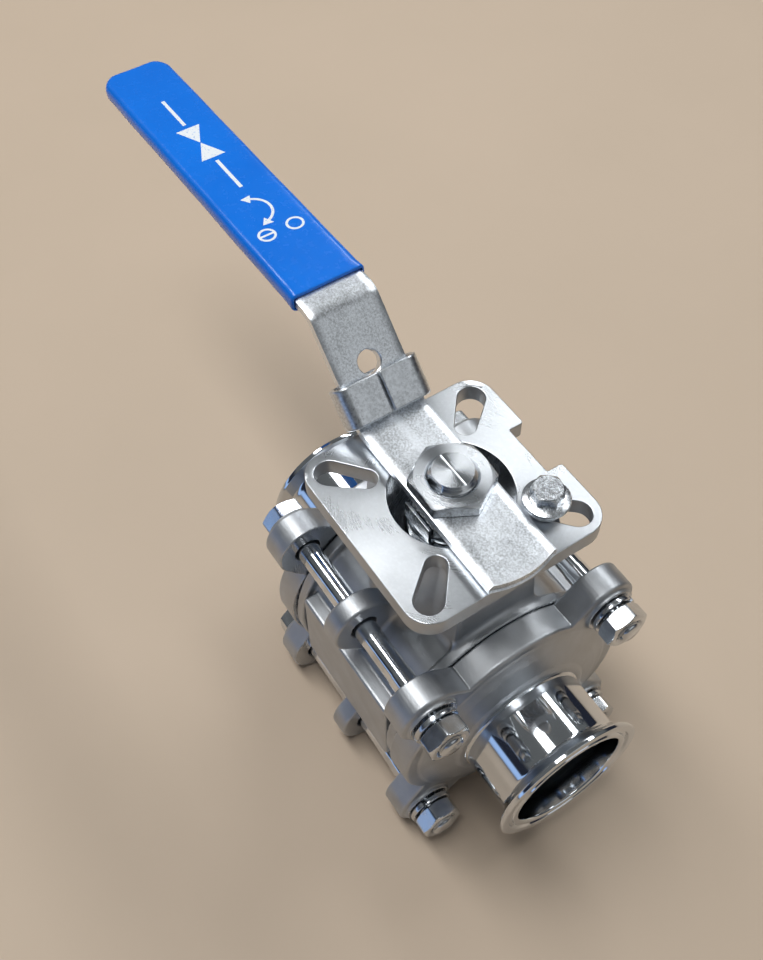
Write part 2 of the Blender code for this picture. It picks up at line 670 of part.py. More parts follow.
# ---- pieces -------------------------------------------------------------------------------------
centre_body()
for label, side in (("front", 1), ("rear", -1)):
    end_cap("end_cap_" + label, side)
    ferrule("ferrule_" + label, side)
    seat("seat_" + label, side)
    ring("body_gasket_" + label, "x", (0, 0, ZC), CAVITY_R + GAP, GASKET_R - GAP, side * (GASKET_X + GAP),
         side * BODY_X, "ptfe", NB)
ball()
stem()
ring("thrust_washer", "z", (0, 0, ZC), STEM_HOLE_R, 12.2, 32.1, 33.3, "ptfe")
for i in range(3):
    ring("packing_ring_%d" % (i + 1), "z", (0, 0, ZC), STEM_HOLE_R + 0.05, BOX_R - GAP, BOX_Z + 0.3 + 2.8 * i,
         BOX_Z + 2.8 + 2.8 * i, "ptfe")
ring("gland_ring", "z", (0, 0, ZC), STEM_HOLE_R + 0.05, BOX_R - GAP, 52.7, 59.2, "polished_stainless")
disc_spring("disc_spring_lower", 60.2, 59.5)
disc_spring("disc_spring_upper", 61.2, 61.6)
tab_washer()
nut("gland_nut", "z", (0, 0, ZC), 63.9, 68.9, GLAND_AF, THREAD_R + GAP, "bright_fasteners")
handle()
nut("handle_nut", "z", (0, 0, ZC), NUT_Z0, NUT_Z1, NUT_AF, THREAD_R + GAP, "bright_fasteners", both=False)
sleeve()
collar()

ring("stop_sleeve", "z", (STOP_XY, STOP_XY, ZC), 2.9, STOP_SLEEVE_R, PAD_TOP + GAP, 76.1, "bright_fasteners")
stop = [(58.8, 2.0), (59.4, 2.45), (76.4, 2.45), (76.4, STOP_FLANGE_R), (77.3, STOP_FLANGE_R), (78.0, 5.3)]
stop += [(78.1, hex_shape(STOP_AF)), (81.4, hex_shape(STOP_AF)), (82.0, 3.9)]
piece("stop_bolt", *lathe(stop, "z", (STOP_XY, STOP_XY, ZC), N, math.radians(-10)), "bright_fasteners",
      origin=(STOP_XY, STOP_XY, PAD_TOP + ZC))
ring("stop_washer", "z", (STOP_XY, STOP_XY, ZC), 2.8, 5.0, 64.7, 65.8, "bright_fasteners")
nut("stop_nut", "z", (STOP_XY, STOP_XY, ZC), 64.3, 60.3, STOP_AF, 2.8, "bright_fasteners", math.radians(15))

HEAD_TURN = (48.0, 90.0, 108.6, 70.0)
NUT_TURN = (76.4, 108.5, 99.6, 60.0)
for i, (sy, sz) in enumerate(((1, 1), (-1, -1), (-1, 1), (1, -1))):
    y, z = sy * BOLT_Y, sz * BOLT_Y
    body_bolt("body_bolt_%d" % (i + 1), y, z, math.radians(HEAD_TURN[i]))
    spring_washer("spring_washer_%d" % (i + 1), y, z, math.radians(40 + 70 * i))
    nut("body_nut_%d" % (i + 1), "x", (0, y, z + ZC), BOSS_X + 2 * GAP + 2.0, 48.0, 13.0, 4.3,
        "bright_fasteners", math.radians(NUT_TURN[i]))
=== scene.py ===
"""Looks of the three piece ball valve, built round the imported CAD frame.
Lengths in the shape code are millimetres, with z counted from the flow axis; flow along X, stem along Z."""
import json
import math

import bpy
import numpy as np
from mathutils import Matrix, Vector

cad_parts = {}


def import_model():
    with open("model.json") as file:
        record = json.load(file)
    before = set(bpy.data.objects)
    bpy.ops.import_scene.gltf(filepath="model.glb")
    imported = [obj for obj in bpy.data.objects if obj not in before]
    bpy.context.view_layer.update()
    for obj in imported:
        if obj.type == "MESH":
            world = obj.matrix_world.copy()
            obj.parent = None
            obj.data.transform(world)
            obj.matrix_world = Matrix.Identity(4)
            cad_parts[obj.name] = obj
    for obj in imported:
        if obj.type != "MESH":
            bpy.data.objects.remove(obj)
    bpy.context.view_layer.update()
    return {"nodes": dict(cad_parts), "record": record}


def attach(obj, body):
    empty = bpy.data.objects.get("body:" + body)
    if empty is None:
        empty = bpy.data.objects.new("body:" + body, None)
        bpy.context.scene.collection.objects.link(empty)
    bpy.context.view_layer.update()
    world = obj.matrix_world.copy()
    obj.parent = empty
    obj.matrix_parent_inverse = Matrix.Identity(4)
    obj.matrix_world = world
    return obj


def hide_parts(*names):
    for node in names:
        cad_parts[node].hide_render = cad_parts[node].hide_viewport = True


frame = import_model()

MM = 0.001
ZC = 42.6
ROOT = math.sqrt(0.5)
FINE = 1.0

# ---- CAD dimensions repeated here ---------------------------------------------------------------
FERRULE_R, FERRULE_X, TUBE_R, BORE_R, LIP_T = 25.25, 66.5, 21.0, 19.0, 1.6
GROOVE_R = 21.75
CAP_X0, CAP_X1, CAP_TOP, CAP_SIDE = 28.9, 38.2, 39.4, 40.4
CREASE = (18.5, 33.9)
HUB_X, SOCKET_R, SOCKET_X = 42.6, 21.3, 40.6
BOLT_Y, EAR_R, BOSS_R, BOSS_X, BOLT_HOLE_R = 32.2, 10.0, 8.3, 39.5, 4.4
BODY_X, BODY_FLANGE_R, BODY_FLANGE_T, BARREL_R = 28.6, 39.0, 3.8, 36.4
PANEL_X, PANEL_Y, PANEL_Z = 23.6, 38.4, 15.5
LUG_R, LUG_X = 10.2, 3.5
CAVITY_R, GASKET_R, GASKET_X = 30.0, 33.2, 25.4
FOOT_X, FOOT_Y = 21.0, 15.0
PAD_TOP, PAD_T, PAD_A, PAD_CORNER = 72.2, 6.0, 32.1, 8.0
NOTCH_W, NOTCH_IN = 8.9, 26.9
SLOT_IN, SLOT_OUT = (24.3, 3.3), (35.2, 4.3)
RECESS_R, RECESS_Z, NECK_R = 18.2, 57.0, 20.4
RIB_X, RIB_Y = 24.2, 12.4
BOX_R, BOX_Z, STEM_R, STEM_HOLE_R = 13.0, 44.0, 9.0, 9.3
SHOULDER_R, SHOULDER_BORE_R, SHOULDER_TOP = 12.0, 12.6, 33.6
BALL_R, TANG_X, TANG_Y, TANG_Z = 29.0, 4.0, 9.0, 24.6
THREAD_R, FLAT_LOW, FLAT_HIGH, STEP_Z, SEAT_Z = 7.0, 6.5, 6.0, 59.4, 72.6
STEM_TOP, STEM_FACE_R = 83.2, 5.95
BOLT_AF, SHANK_R, BOLT_THREAD_R, BOLT_END_X = 13.0, 3.7, 3.95, 49.3
BODY_NUT_X, SPRING_WASHER_T = 48.0, 2.0
BAR_TOP, BAR_T, BAR_W, TAIL_X, TAIL_BULGE = 76.4, 3.5, 11.2, 32.5, 2.0
BEND1_X, BEND2_X, BEND2_Z = -29.7, -55.3, 102.0
GRIP_END_X, GRIP_END_Z, BEND_R = -191.5, 97.6, 5.75
LOCK_HOLE_R, LOCK_HOLE_S = 3.6, 16.8
SLEEVE_NEAR_X, SLEEVE_W, SLEEVE_T = -62.6, 12.3, 1.4
COLLAR_W, COLLAR_T, COLLAR_TOP, COLLAR_BOTTOM = 14.2, 1.8, 3.1, -6.4
COLLAR_S0, COLLAR_S1, TONGUE_W = 1.0, 13.6, 8.0
NUT_AF, NUT_Z0, NUT_Z1, GLAND_AF = 22.0, 76.7, 80.8, 20.0
STOP_XY, STOP_SLEEVE_R, STOP_FLANGE_R, STOP_AF = 18.5, 5.0, 6.9, 8.5
STOP_HEAD, AT_STOP = (76.4, 82.0), (STOP_XY, STOP_XY, 0)
TAB_WASHER = (62.6, 63.6)
GAP = 0.3
THREAD_PITCH = 1.25


# ---- node trees -----------------------------------------------------------------------------------
def feed(tree, socket, value):
    """Link an output to a socket, or set the socket's own value."""
    if isinstance(value, bpy.types.NodeSocket):
        tree.links.new(value, socket)
    else:
        socket.default_value = value


def add_node(tree, kind, inputs, **attributes):
    node = tree.nodes.new(kind)
    for key, value in attributes.items():
        setattr(node, key, value)
    for key, value in inputs.items():
        feed(tree, node.inputs[key], value)
    return node


class Graph:
    """A material's node tree, written as expressions."""

    def __init__(self, name):
        self.material = bpy.data.materials.new(name)
        self.material.use_nodes = True
        self.tree = self.material.node_tree
        self.shader = self.tree.nodes["Principled BSDF"]
        self.place = self.add("ShaderNodeTexCoord").outputs["Object"]

    def add(self, kind, inputs=None, **attributes):
        return add_node(self.tree, kind, inputs or {}, **attributes)

    def noise(self, scale, detail=4.0, stretch=None, roughness=0.55, where=None):
        where = where or self.place
        if stretch:
            where = self.add("ShaderNodeMapping", {0: where, "Scale": stretch}).outputs[0]
        inputs = {"Vector": where, "Scale": scale, "Detail": detail, "Roughness": roughness}
        return self.add("ShaderNodeTexNoise", inputs).outputs["Fac"]

    def ramp(self, value, low, high, start=0.0, end=1.0):
        """From low to high while value goes from start to end."""
        return self.add("ShaderNodeMapRange", {0: value, 1: start, 2: end, 3: low, 4: high}).outputs[0]

    def mask(self, value, start, end):
        return self.ramp(value, 0.0, 1.0, start, end)

    def maths(self, operation, a, b=0.0):
        return self.add("ShaderNodeMath", {0: a, 1: b}, operation=operation).outputs[0]

    def mix(self, factor, a, b):
        return self.add("ShaderNodeMix", {0: factor, 6: a, 7: b}, data_type="RGBA").outputs[2]

    def bump(self, height, distance, strength=1.0, normal=None):
        inputs = {"Height": height, "Distance": distance, "Strength": strength}
        if normal is not None:
            inputs["Normal"] = normal
        return self.add("ShaderNodeBump", inputs).outputs[0]

    def set(self, **inputs):
        names = {"colour": "Base Color", "rough": "Roughness", "metal": "Metallic", "normal": "Normal",
                 "aniso": "Anisotropic", "spin": "Anisotropic Rotation", "tangent": "Tangent",
                 "coat": "Coat Weight", "coat_rough": "Coat Roughness"}
        for key, value in inputs.items():
            feed(self.tree, self.shader.inputs[names[key]], value)
        return self.material


# ---- materials ------------------------------------------------------------------------------------
STEEL_TINT = (0.95, 0.995, 1.05)
BRIGHTEST = 0.95         # no steel reflects more than this


def steel(value):
    value = min(BRIGHTEST, value)
    return tuple(value * part for part in STEEL_TINT) + (1.0,)


def cast_material():
    """Blasted investment casting: fine grain, faint patches, a painted highlight on convex edges and painted
    shade in hollows.
    """
    g = Graph("cast_stainless")
    grain = g.noise(1900.0, 3.0)
    patch = g.noise(110.0, 4.0)
    point = g.add("ShaderNodeNewGeometry").outputs["Pointiness"]
    # painted highlight: convex edges, where pointiness is high, are lightened towards steel 0.72
    edge = g.mask(point, 0.52, 0.60)
    # painted shade: hollows, where pointiness is low, are darkened towards steel 0.20
    hollow = g.ramp(point, 1.0, 0.0, 0.42, 0.49)
    base = g.mix(g.mask(patch, 0.3, 0.7), steel(0.46), steel(0.56))
    base = g.mix(g.maths("MULTIPLY", edge, 0.5), base, steel(0.72))
    base = g.mix(g.maths("MULTIPLY", hollow, 0.45), base, steel(0.20))
    rough = g.maths("ADD", g.ramp(patch, 0.40, 0.50, 0.3, 0.7), g.ramp(grain, -0.05, 0.05))
    normal = g.bump(grain, 0.00006, 0.6)
    normal = g.bump(g.noise(600.0, 2.0), 0.00003, 0.4, normal)
    return g.set(colour=base, metal=1.0, rough=rough, normal=normal)


def sheet_material(name, value, rough, grain, depth):
    """Blasted sheet: fine bright speckle, faint scuffs, a painted highlight on the broken edges."""
    g = Graph(name)
    speckle = g.noise(grain, 3.0, roughness=0.7)
    scuff = g.noise(1.0, 4.0, (90.0, 420.0, 90.0))
    blotch = g.noise(120.0, 4.0)
    point = g.add("ShaderNodeNewGeometry").outputs["Pointiness"]
    # painted highlight: broken edges, where pointiness is high, are lightened towards steel 0.92
    edge = g.mask(point, 0.51, 0.58)
    base = g.mix(g.mask(speckle, 0.38, 0.62), steel(value * 0.68), steel(value * 1.24))
    base = g.mix(g.ramp(scuff, 0.0, 0.35, 0.45, 0.7), base, steel(value * 1.3))
    base = g.mix(g.maths("MULTIPLY", edge, 0.6), base, steel(0.92))
    finish = g.maths("ADD", g.ramp(speckle, rough - 0.03, rough + 0.03, 0.3, 0.7),
                     g.ramp(blotch, -0.05, 0.05, 0.3, 0.7))
    normal = g.bump(speckle, depth, 0.8)
    normal = g.bump(g.noise(260.0, 2.0), depth * 1.2, 0.3, normal)
    return g.set(colour=base, metal=1.0, rough=finish, normal=normal)


def faced_material(name, value, rough, aniso, mark=1.0):
    """Face cut on a mill or lathe: arcs round the stem axis, as plain as mark, and their fan of light."""
    g = Graph(name)
    split = g.add("ShaderNodeSeparateXYZ", {0: g.place})
    x, y = split.outputs[0], split.outputs[1]
    radius = g.maths("SQRT", g.maths("ADD", g.maths("MULTIPLY", x, x), g.maths("MULTIPLY", y, y)))
    far = g.maths("MAXIMUM", radius, 0.0001)
    across, along = g.maths("DIVIDE", x, far), g.maths("DIVIDE", y, far)
    polar = {0: g.maths("MULTIPLY", radius, 1700.0), 1: across, 2: along}
    where = g.add("ShaderNodeCombineXYZ", polar).outputs[0]
    arcs = g.noise(1.6, 5.0, roughness=0.7, where=where)
    fuzz, blotch = g.noise(900.0, 3.0), g.noise(60.0, 3.0)
    vary = 0.05 * mark
    base = g.mix(g.mask(arcs, 0.35, 0.65), steel(value * (1 - vary)), steel(value * (1 + vary)))
    base = g.mix(g.ramp(fuzz, 0.0, 0.3, 0.45, 0.7), base, steel(value * 1.2))
    finish = g.maths("ADD", g.ramp(arcs, rough - vary, rough + vary, 0.3, 0.7),
                     g.ramp(blotch, -0.04, 0.04, 0.3, 0.7))
    tangent = g.add("ShaderNodeTangent", direction_type="RADIAL", axis="Z").outputs[0]
    normal = g.bump(arcs, 0.0000016 * mark ** 3, 0.5)
    return g.set(colour=base, metal=1.0, rough=finish, normal=normal, aniso=aniso, spin=0.25, tangent=tangent)


def polished_material():
    """Mirror polish with faint lines round the flow axis and fingerprints."""
    g = Graph("polished_stainless")
    lines = g.noise(1.0, 4.0, [2600.0, 40.0, 40.0], 0.6)
    smear = g.noise(70.0, 5.0)
    base = g.mix(g.mask(smear, 0.35, 0.7), steel(0.78), steel(0.70))
    rough = g.maths("ADD", g.ramp(smear, 0.045, 0.075, 0.3, 0.7), g.ramp(lines, 0.0, 0.02, 0.3, 0.7))
    return g.set(colour=base, metal=1.0, rough=rough, normal=g.bump(lines, 0.0000008, 0.4))


def bright_material(name, value, rough, depth=0.000012):
    """Cold formed and tumbled fastener: small dents, uneven brightness."""
    g = Graph(name)
    dents = g.noise(330.0, 2.0)
    patch = g.noise(160.0, 4.0)
    base = g.mix(g.mask(patch, 0.35, 0.65), steel(value * 0.82), steel(value * 1.08))
    finish = g.maths("ADD", g.ramp(patch, rough - 0.05, rough + 0.10, 0.3, 0.7), g.ramp(dents, -0.02, 0.02))
    normal = g.bump(dents, depth, 0.4)
    return g.set(colour=base, metal=1.0, rough=finish, normal=normal)


def stem_material():
    """Turned shaft: fine rings round Z."""
    g = Graph("turned_stem")
    rings = g.noise(1.0, 4.0, [30.0, 30.0, 3200.0], 0.6)
    fuzz = g.noise(300.0, 3.0)
    base = g.mix(fuzz, steel(0.60), steel(0.76))
    rough = g.ramp(rings, 0.16, 0.30, 0.3, 0.7)
    return g.set(colour=base, metal=1.0, rough=rough, normal=g.bump(rings, 0.000008, 0.6))


def vinyl_material():
    """Dipped vinyl: saturated glossy blue with slow waves and faint orange peel."""
    g = Graph("blue_vinyl")
    wave = g.noise(55.0, 2.0)
    peel = g.noise(420.0, 2.0)
    tone = g.noise(30.0, 3.0)
    base = g.mix(g.mask(tone, 0.3, 0.7), (0.0, 0.16, 0.73, 1.0), (0.0, 0.185, 0.81, 1.0))
    normal = g.bump(wave, 0.00016, 0.5)
    normal = g.bump(peel, 0.000012, 0.5, normal)
    return g.set(colour=base, metal=0.0, rough=g.ramp(peel, 0.20, 0.30, 0.3, 0.7), normal=normal, coat=0.25,
                 coat_rough=0.06)


def print_material():
    """White screen ink, slightly worn."""
    g = Graph("white_ink")
    wear = g.noise(1500.0, 4.0)
    base = g.mix(g.mask(wear, 0.30, 0.42), (0.20, 0.42, 0.80, 1.0), (0.82, 0.86, 0.90, 1.0))
    return g.set(colour=base, metal=0.0, rough=0.45, normal=g.bump(wear, 0.00001, 0.4))


def ptfe_material():
    """Waxy white plastic."""
    g = Graph("ptfe")
    fuzz = g.noise(260.0, 3.0)
    base = g.mix(fuzz, (0.78, 0.78, 0.75, 1.0), (0.88, 0.88, 0.86, 1.0))
    return g.set(colour=base, metal=0.0, rough=g.ramp(fuzz, 0.38, 0.5), normal=g.bump(fuzz, 0.00001, 0.4))


CAST = cast_material()
PAD_FACE = faced_material("milled_pad", 0.72, 0.29, 0.80, 0.3)
TURNED = faced_material("turned_face", 0.60, 0.25, 0.5)
SHEET = sheet_material("blasted_sheet", 0.76, 0.34, 1700.0, 0.00005)
COLLAR_STEEL = sheet_material("tumbled_sheet", 0.66, 0.33, 1000.0, 0.00004)
DULL = sheet_material("dull_fastener", 0.70, 0.26, 900.0, 0.00003)
MIRROR = polished_material()
BRIGHT = bright_material("bright_fastener", 0.72, 0.18)
SHANK = bright_material("polished_shank", 0.78, 0.08, 0.000003)
NUT_STEEL = sheet_material("lever_nut_steel", 0.62, 0.26, 1200.0, 0.000008)
NUT_FACE = faced_material("lever_nut_face", 0.70, 0.29, 0.90, 0.25)
STEM_STEEL = stem_material()
STEM_END = faced_material("faced_stem_end", 0.74, 0.25, 0.96, 0.3)
VINYL = vinyl_material()
INK = print_material()
PTFE = ptfe_material()


# ---- mesh making ----------------------------------------------------------------------------------
BODY_OF = {node: body for body, nodes in frame["record"]["behaviour"]["bodies"].items() for node in nodes}


def placed(name, data):
    """Object that holds the data, put in the scene."""
    obj = bpy.data.objects.new(name, data)
    bpy.context.scene.collection.objects.link(obj)
    return obj


def solid_mesh(name, points, faces):
    """Mesh from millimetre points whose z is counted from the flow axis."""
    mesh = bpy.data.meshes.new(name)
    points = np.asarray(points, float) * MM
    points[:, 2] += ZC * MM
    mesh.from_pydata(points.tolist(), [], [list(map(int, f)) for f in faces])
    mesh.update()
    return mesh


def piece(name, solid, materials, node, angle=32.0, normals=None, extra=False):
    """Visible piece with its CAD node's body; it stands for the node unless it is an extra."""
    mesh = solid_mesh(name, *solid)
    for material in materials if isinstance(materials, list) else [materials]:
        mesh.materials.append(material)
    mesh.polygons.foreach_set("use_smooth", [True] * len(mesh.polygons))
    if normals is not None:
        mesh.normals_split_custom_set_from_vertices(normals.tolist())
    else:
        mesh.set_sharp_from_angle(angle=math.radians(angle))
    obj = placed(name, mesh)
    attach(obj, BODY_OF[node])
    if not extra:
        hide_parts(node)
    return obj


def apply_all(obj):
    """The object with its modifiers turned into mesh."""
    graph = bpy.context.evaluated_depsgraph_get()
    mesh = bpy.data.meshes.new_from_object(obj.evaluated_get(graph), depsgraph=graph)
    obj.modifiers.clear()
    obj.data = mesh


def carve(obj, solid, operation="DIFFERENCE"):
    """Cut a solid out of a piece, or add it."""
    tool = placed("cutter", solid_mesh("cutter", *solid))
    mod = obj.modifiers.new("carve", "BOOLEAN")
    mod.object, mod.operation, mod.solver = tool, operation, "EXACT"
    apply_all(obj)
    bpy.data.objects.remove(tool)


def bevel(obj, width, segments=2, angle=30.0):
    mod = obj.modifiers.new("bevel", "BEVEL")
    mod.width, mod.segments = width * MM, segments
    mod.limit_method, mod.angle_limit = "ANGLE", math.radians(angle)
    mod.harden_normals = False
    apply_all(obj)


def ringed(rings, closed):
    """Solid over rings of equal length: closed joins the last to the first, otherwise its ends are flat."""
    n, count = len(rings[0]), len(rings)
    points = np.concatenate([np.asarray(r, float) for r in rings])
    faces = []
    for i in range(count if closed else count - 1):
        a, b = i * n, ((i + 1) % count) * n
        for j in range(n):
            k = (j + 1) % n
            faces.append((a + j, a + k, b + k, b + j))
    if not closed:
        faces.append(tuple(reversed(range(n))))
        faces.append(tuple(range((count - 1) * n, count * n)))
    return outward(points, faces)


def outward(points, faces):
    """The solid with all its faces turned round if it was inside out."""
    points = np.asarray(points, float)
    total = 0.0
    for face in faces:
        a = points[face[0]]
        for i in range(1, len(face) - 1):
            total += float(np.dot(a, np.cross(points[face[i]], points[face[i + 1]])))
    return points, faces if total > 0 else [tuple(reversed(f)) for f in faces]


def rounded(points, closed=False, steps=4):
    """Polyline of (a, b, radius) corners to (a, b) points with each corner filleted."""
    out, n = [], len(points)
    for i, (a, b, r) in enumerate(points):
        if r <= 0 or (not closed and i in (0, n - 1)):
            out.append((a, b))
            continue
        here = Vector((a, b))
        before = Vector(points[i - 1][:2]) - here
        after = Vector(points[(i + 1) % n][:2]) - here
        half = before.angle(after) / 2
        reach = min(r / math.tan(half), before.length * 0.49, after.length * 0.49)
        radius = reach * math.tan(half)
        start, end = here + before.normalized() * reach, here + after.normalized() * reach
        centre = here + (before.normalized() + after.normalized()).normalized() * math.hypot(reach, radius)
        for k in range(steps + 1):
            spoke = (start - centre).lerp(end - centre, k / steps)
            spot = centre + spoke.normalized() * radius
            out.append((spot.x, spot.y))
    return out


def lathe(profile, axis, n=96, centre=(0, 0, 0), turn=0.0, closed=False):
    """Solid of (height, radius or rule of the angle) rings round the axis X or Z through centre."""
    centre = np.asarray(centre, float)
    t = 2 * math.pi * np.arange(n) / n
    rings = []
    for height, shape in profile:
        r = shape(t) if callable(shape) else np.full(n, float(shape))
        c, s, h = r * np.cos(t + turn), r * np.sin(t + turn), np.full(n, float(height))
        ring = np.stack([h, c, s] if axis == "x" else [c, s, h], axis=1)
        rings.append(ring + centre)
    return ringed(rings, closed)


def hexagon(af, cap=None, corner=0.25):
    """Rule for a hexagon's outline, its corners a little rounded and at most cap from the axis."""
    def rule(t):
        off = (t + math.pi / 6) % (math.pi / 3) - math.pi / 6
        a = (af / 2) / np.cos(math.pi / 6 - np.abs(off))
        b = (af / 2) / np.cos(math.pi / 6 + np.abs(off))
        h = np.maximum(corner - np.abs(a - b), 0.0) / corner
        r = np.minimum(a, b) - h * h * corner / 4
        return r if cap is None else np.minimum(r, cap)
    return rule


def hex_rings(a0, a1, af, low=True, high=True, steps=5, flat=0.475):
    """Heights and rules for a hexagon with 30 degree chamfers, starting at flat * af from the axis."""
    limit, reach = flat * af, af / math.sqrt(3)
    drop = math.copysign((reach - limit) * math.tan(math.radians(30)), a1 - a0)
    chamfer = [(drop * k / steps, hexagon(af, limit + (reach - limit) * k / steps)) for k in range(steps + 1)]
    bottom = [(a0 + rise, rule) for rise, rule in chamfer] if low else [(a0, hexagon(af))]
    top = [(a1 - rise, rule) for rise, rule in chamfer[::-1]] if high else [(a1, hexagon(af))]
    return bottom + top


def keyed(r, flat):
    """Circle with two flats facing +-Y."""
    return lambda t: np.minimum(r, flat / np.maximum(1e-9, np.abs(np.sin(t))))


# ---- solids as distance fields --------------------------------------------------------------------
def join(a, b, r=0.0):
    """Union with a fillet of radius r."""
    if r <= 0:
        return np.minimum(a, b)
    return np.maximum(r, np.minimum(a, b)) - np.hypot(np.maximum(r - a, 0), np.maximum(r - b, 0))


def common(a, b, r=0.0):
    """Intersection with an edge rounded to radius r."""
    return -join(-a, -b, r)


def cut(a, b, r=0.0):
    return common(a, -b, r)


def polygon(corners, u, v):
    """Signed distance to a closed polygon."""
    best = np.full(np.broadcast(u, v).shape, 1e9)
    sign = np.ones(best.shape, bool)
    for (ax, ay), (bx, by) in zip(corners, corners[-1:] + corners[:-1]):
        ex, ey = bx - ax, by - ay
        wx, wy = u - ax, v - ay
        t = np.clip((wx * ex + wy * ey) / (ex * ex + ey * ey), 0, 1)
        best = np.minimum(best, (wx - ex * t) ** 2 + (wy - ey * t) ** 2)
        above, below, left = v >= ay, v < by, ex * wy > ey * wx
        sign ^= (above & below & left) | (~above & ~below & ~left)
    return np.where(sign, 1.0, -1.0) * np.sqrt(best)


def skin(field, low, high, step):
    """Quads on a field's zero surface, their corners moved onto it, with the field's own normals."""
    low, high = np.asarray(low, float), np.asarray(high, float)
    shape = np.ceil((high - low) / step).astype(int) + 1
    axes = [low[i] + step * np.arange(shape[i]) for i in range(3)]
    x, y, z = np.meshgrid(*axes, indexing="ij", sparse=True)
    value = np.ascontiguousarray(np.broadcast_to(field(x, y, z), tuple(shape)))
    inside = value < 0
    count = np.zeros(tuple(shape - 1), np.int8)
    corners = [(i, j, k) for i in (0, 1) for j in (0, 1) for k in (0, 1)]
    for i, j, k in corners:
        count += inside[i:shape[0] - 1 + i, j:shape[1] - 1 + j, k:shape[2] - 1 + k]
    cell = np.argwhere((count > 0) & (count < 8))
    index = np.full(count.shape, -1, np.int64)
    index[tuple(cell.T)] = np.arange(len(cell))
    total, hits = np.zeros((len(cell), 3)), np.zeros(len(cell))
    for axis in range(3):
        others = [a for a in range(3) if a != axis]
        for p in (0, 1):
            for q in (0, 1):
                start = np.zeros(3, int)
                start[others[0]], start[others[1]] = p, q
                end = start.copy()
                end[axis] = 1
                v0 = value[tuple((cell + start).T)]
                v1 = value[tuple((cell + end).T)]
                cross = (v0 < 0) != (v1 < 0)
                t = np.where(cross, v0 / np.where(v0 == v1, 1.0, v0 - v1), 0.0)
                total += cross[:, None] * (start + t[:, None] * (end - start))
                hits += cross
    points = low + step * (cell + total / hits[:, None])
    quads = []
    for axis in range(3):
        others = [a for a in range(3) if a != axis]
        first = [slice(None)] * 3
        second = [slice(None)] * 3
        first[axis], second[axis] = slice(0, -1), slice(1, None)
        for other in others:
            first[other] = second[other] = slice(1, -1)
        a, b = inside[tuple(first)], inside[tuple(second)]
        for forward, mask in ((True, a & ~b), (False, ~a & b)):
            spot = np.argwhere(mask)
            for other in others:
                spot[:, other] += 1
            ring = []
            for p, q in ((1, 1), (0, 1), (0, 0), (1, 0)):
                move = np.zeros(3, int)
                move[others[0]], move[others[1]] = p, q
                ring.append(index[tuple((spot - move).T)])
            ring = np.stack(ring, axis=1)
            quads.append(ring if forward == (axis != 1) else ring[:, ::-1])
    quads = np.concatenate(quads)
    links = np.concatenate([quads[:, [0, 1]], quads[:, [1, 2]], quads[:, [2, 3]], quads[:, [3, 0]]])
    for relax in (0.5, 0.5, 0.3, 0.0, 0.0):
        if relax:
            middle, near = np.zeros_like(points), np.zeros(len(points))
            for a, b in ((0, 1), (1, 0)):
                for c in range(3):
                    middle[:, c] += np.bincount(links[:, a], points[links[:, b], c], len(points))
                near += np.bincount(links[:, a], minlength=len(points))
            points += relax * (middle / near[:, None] - points)
        here, slope = gradient(field, points)
        size = np.maximum((slope ** 2).sum(1), 0.2)
        move = slope * (here / size)[:, None]
        length = np.linalg.norm(move, axis=1)
        points -= move * np.minimum(1.0, step / np.maximum(length, 1e-9))[:, None]
    _, slope = gradient(field, points)
    normals = slope / np.maximum(np.linalg.norm(slope, axis=1), 1e-9)[:, None]
    return points, quads, normals


def gradient(field, points, h=0.02):
    x, y, z = points.T
    here = field(x, y, z)
    slope = np.stack([field(x + h, y, z) - field(x - h, y, z), field(x, y + h, z) - field(x, y - h, z),
                      field(x, y, z + h) - field(x, y, z - h)], axis=1) / (2 * h)
    return here, slope


def skinned(name, field, low, high, step, choose, node):
    """Cast piece from a field; choose(centres, normals) tells which faces are turned."""
    points, quads, normals = skin(field, low, high, step * FINE)
    obj = piece(name, (points, quads), [CAST, TURNED], node, normals=normals)
    middle = points[quads].mean(axis=1)
    facing = normals[quads].mean(axis=1)
    obj.data.polygons.foreach_set("material_index", choose(middle, facing).astype(np.int32))
    return obj


def waver(x, y, z, size=0.05):
    """Slow unevenness of a cast skin."""
    drift = np.sin(x * 0.61 + 1.3 * np.sin(z * 0.23))
    return size * drift * np.sin(y * 0.53 + 0.7) * np.sin(z * 0.47 + 2.1)


# ---- end caps -------------------------------------------------------------------------------------
def arc(cx, cy, r, start, end, steps):
    out = []
    for i in range(steps + 1):
        t = math.radians(start + (end - start) * i / steps)
        out.append((cx + r * math.cos(t), cy + r * math.sin(t)))
    return out


def rim(apex):
    y, z = CREASE
    centre = (y * y + z * z - apex * apex) / (2 * (z - apex))
    return centre, apex - centre


def cap_quadrant():
    """First quadrant of the cap's outline, carried past both axes so that mirroring has no seam."""
    dy, dz = BOLT_Y - CREASE[0], BOLT_Y - CREASE[1]
    heading = math.atan2(dz, dy) + math.asin(EAR_R / math.hypot(dy, dz))
    touch = math.degrees(heading + math.pi / 2)
    out = [(-20.0, -20.0), (CAP_SIDE, -20.0)]
    centre, r = rim(CAP_SIDE)
    last = math.atan2(CREASE[0], CREASE[1] - centre)
    out += [(centre + r * math.cos(last * i / 20), r * math.sin(last * i / 20)) for i in range(21)]
    out += arc(BOLT_Y, BOLT_Y, EAR_R, 90.0 - touch, touch, 48)
    centre, r = rim(CAP_TOP)
    last = math.atan2(CREASE[0], CREASE[1] - centre)
    out += [(r * math.sin(last * i / 20), centre + r * math.cos(last * i / 20)) for i in range(20, -1, -1)]
    out.append((-20.0, CAP_TOP))
    return out


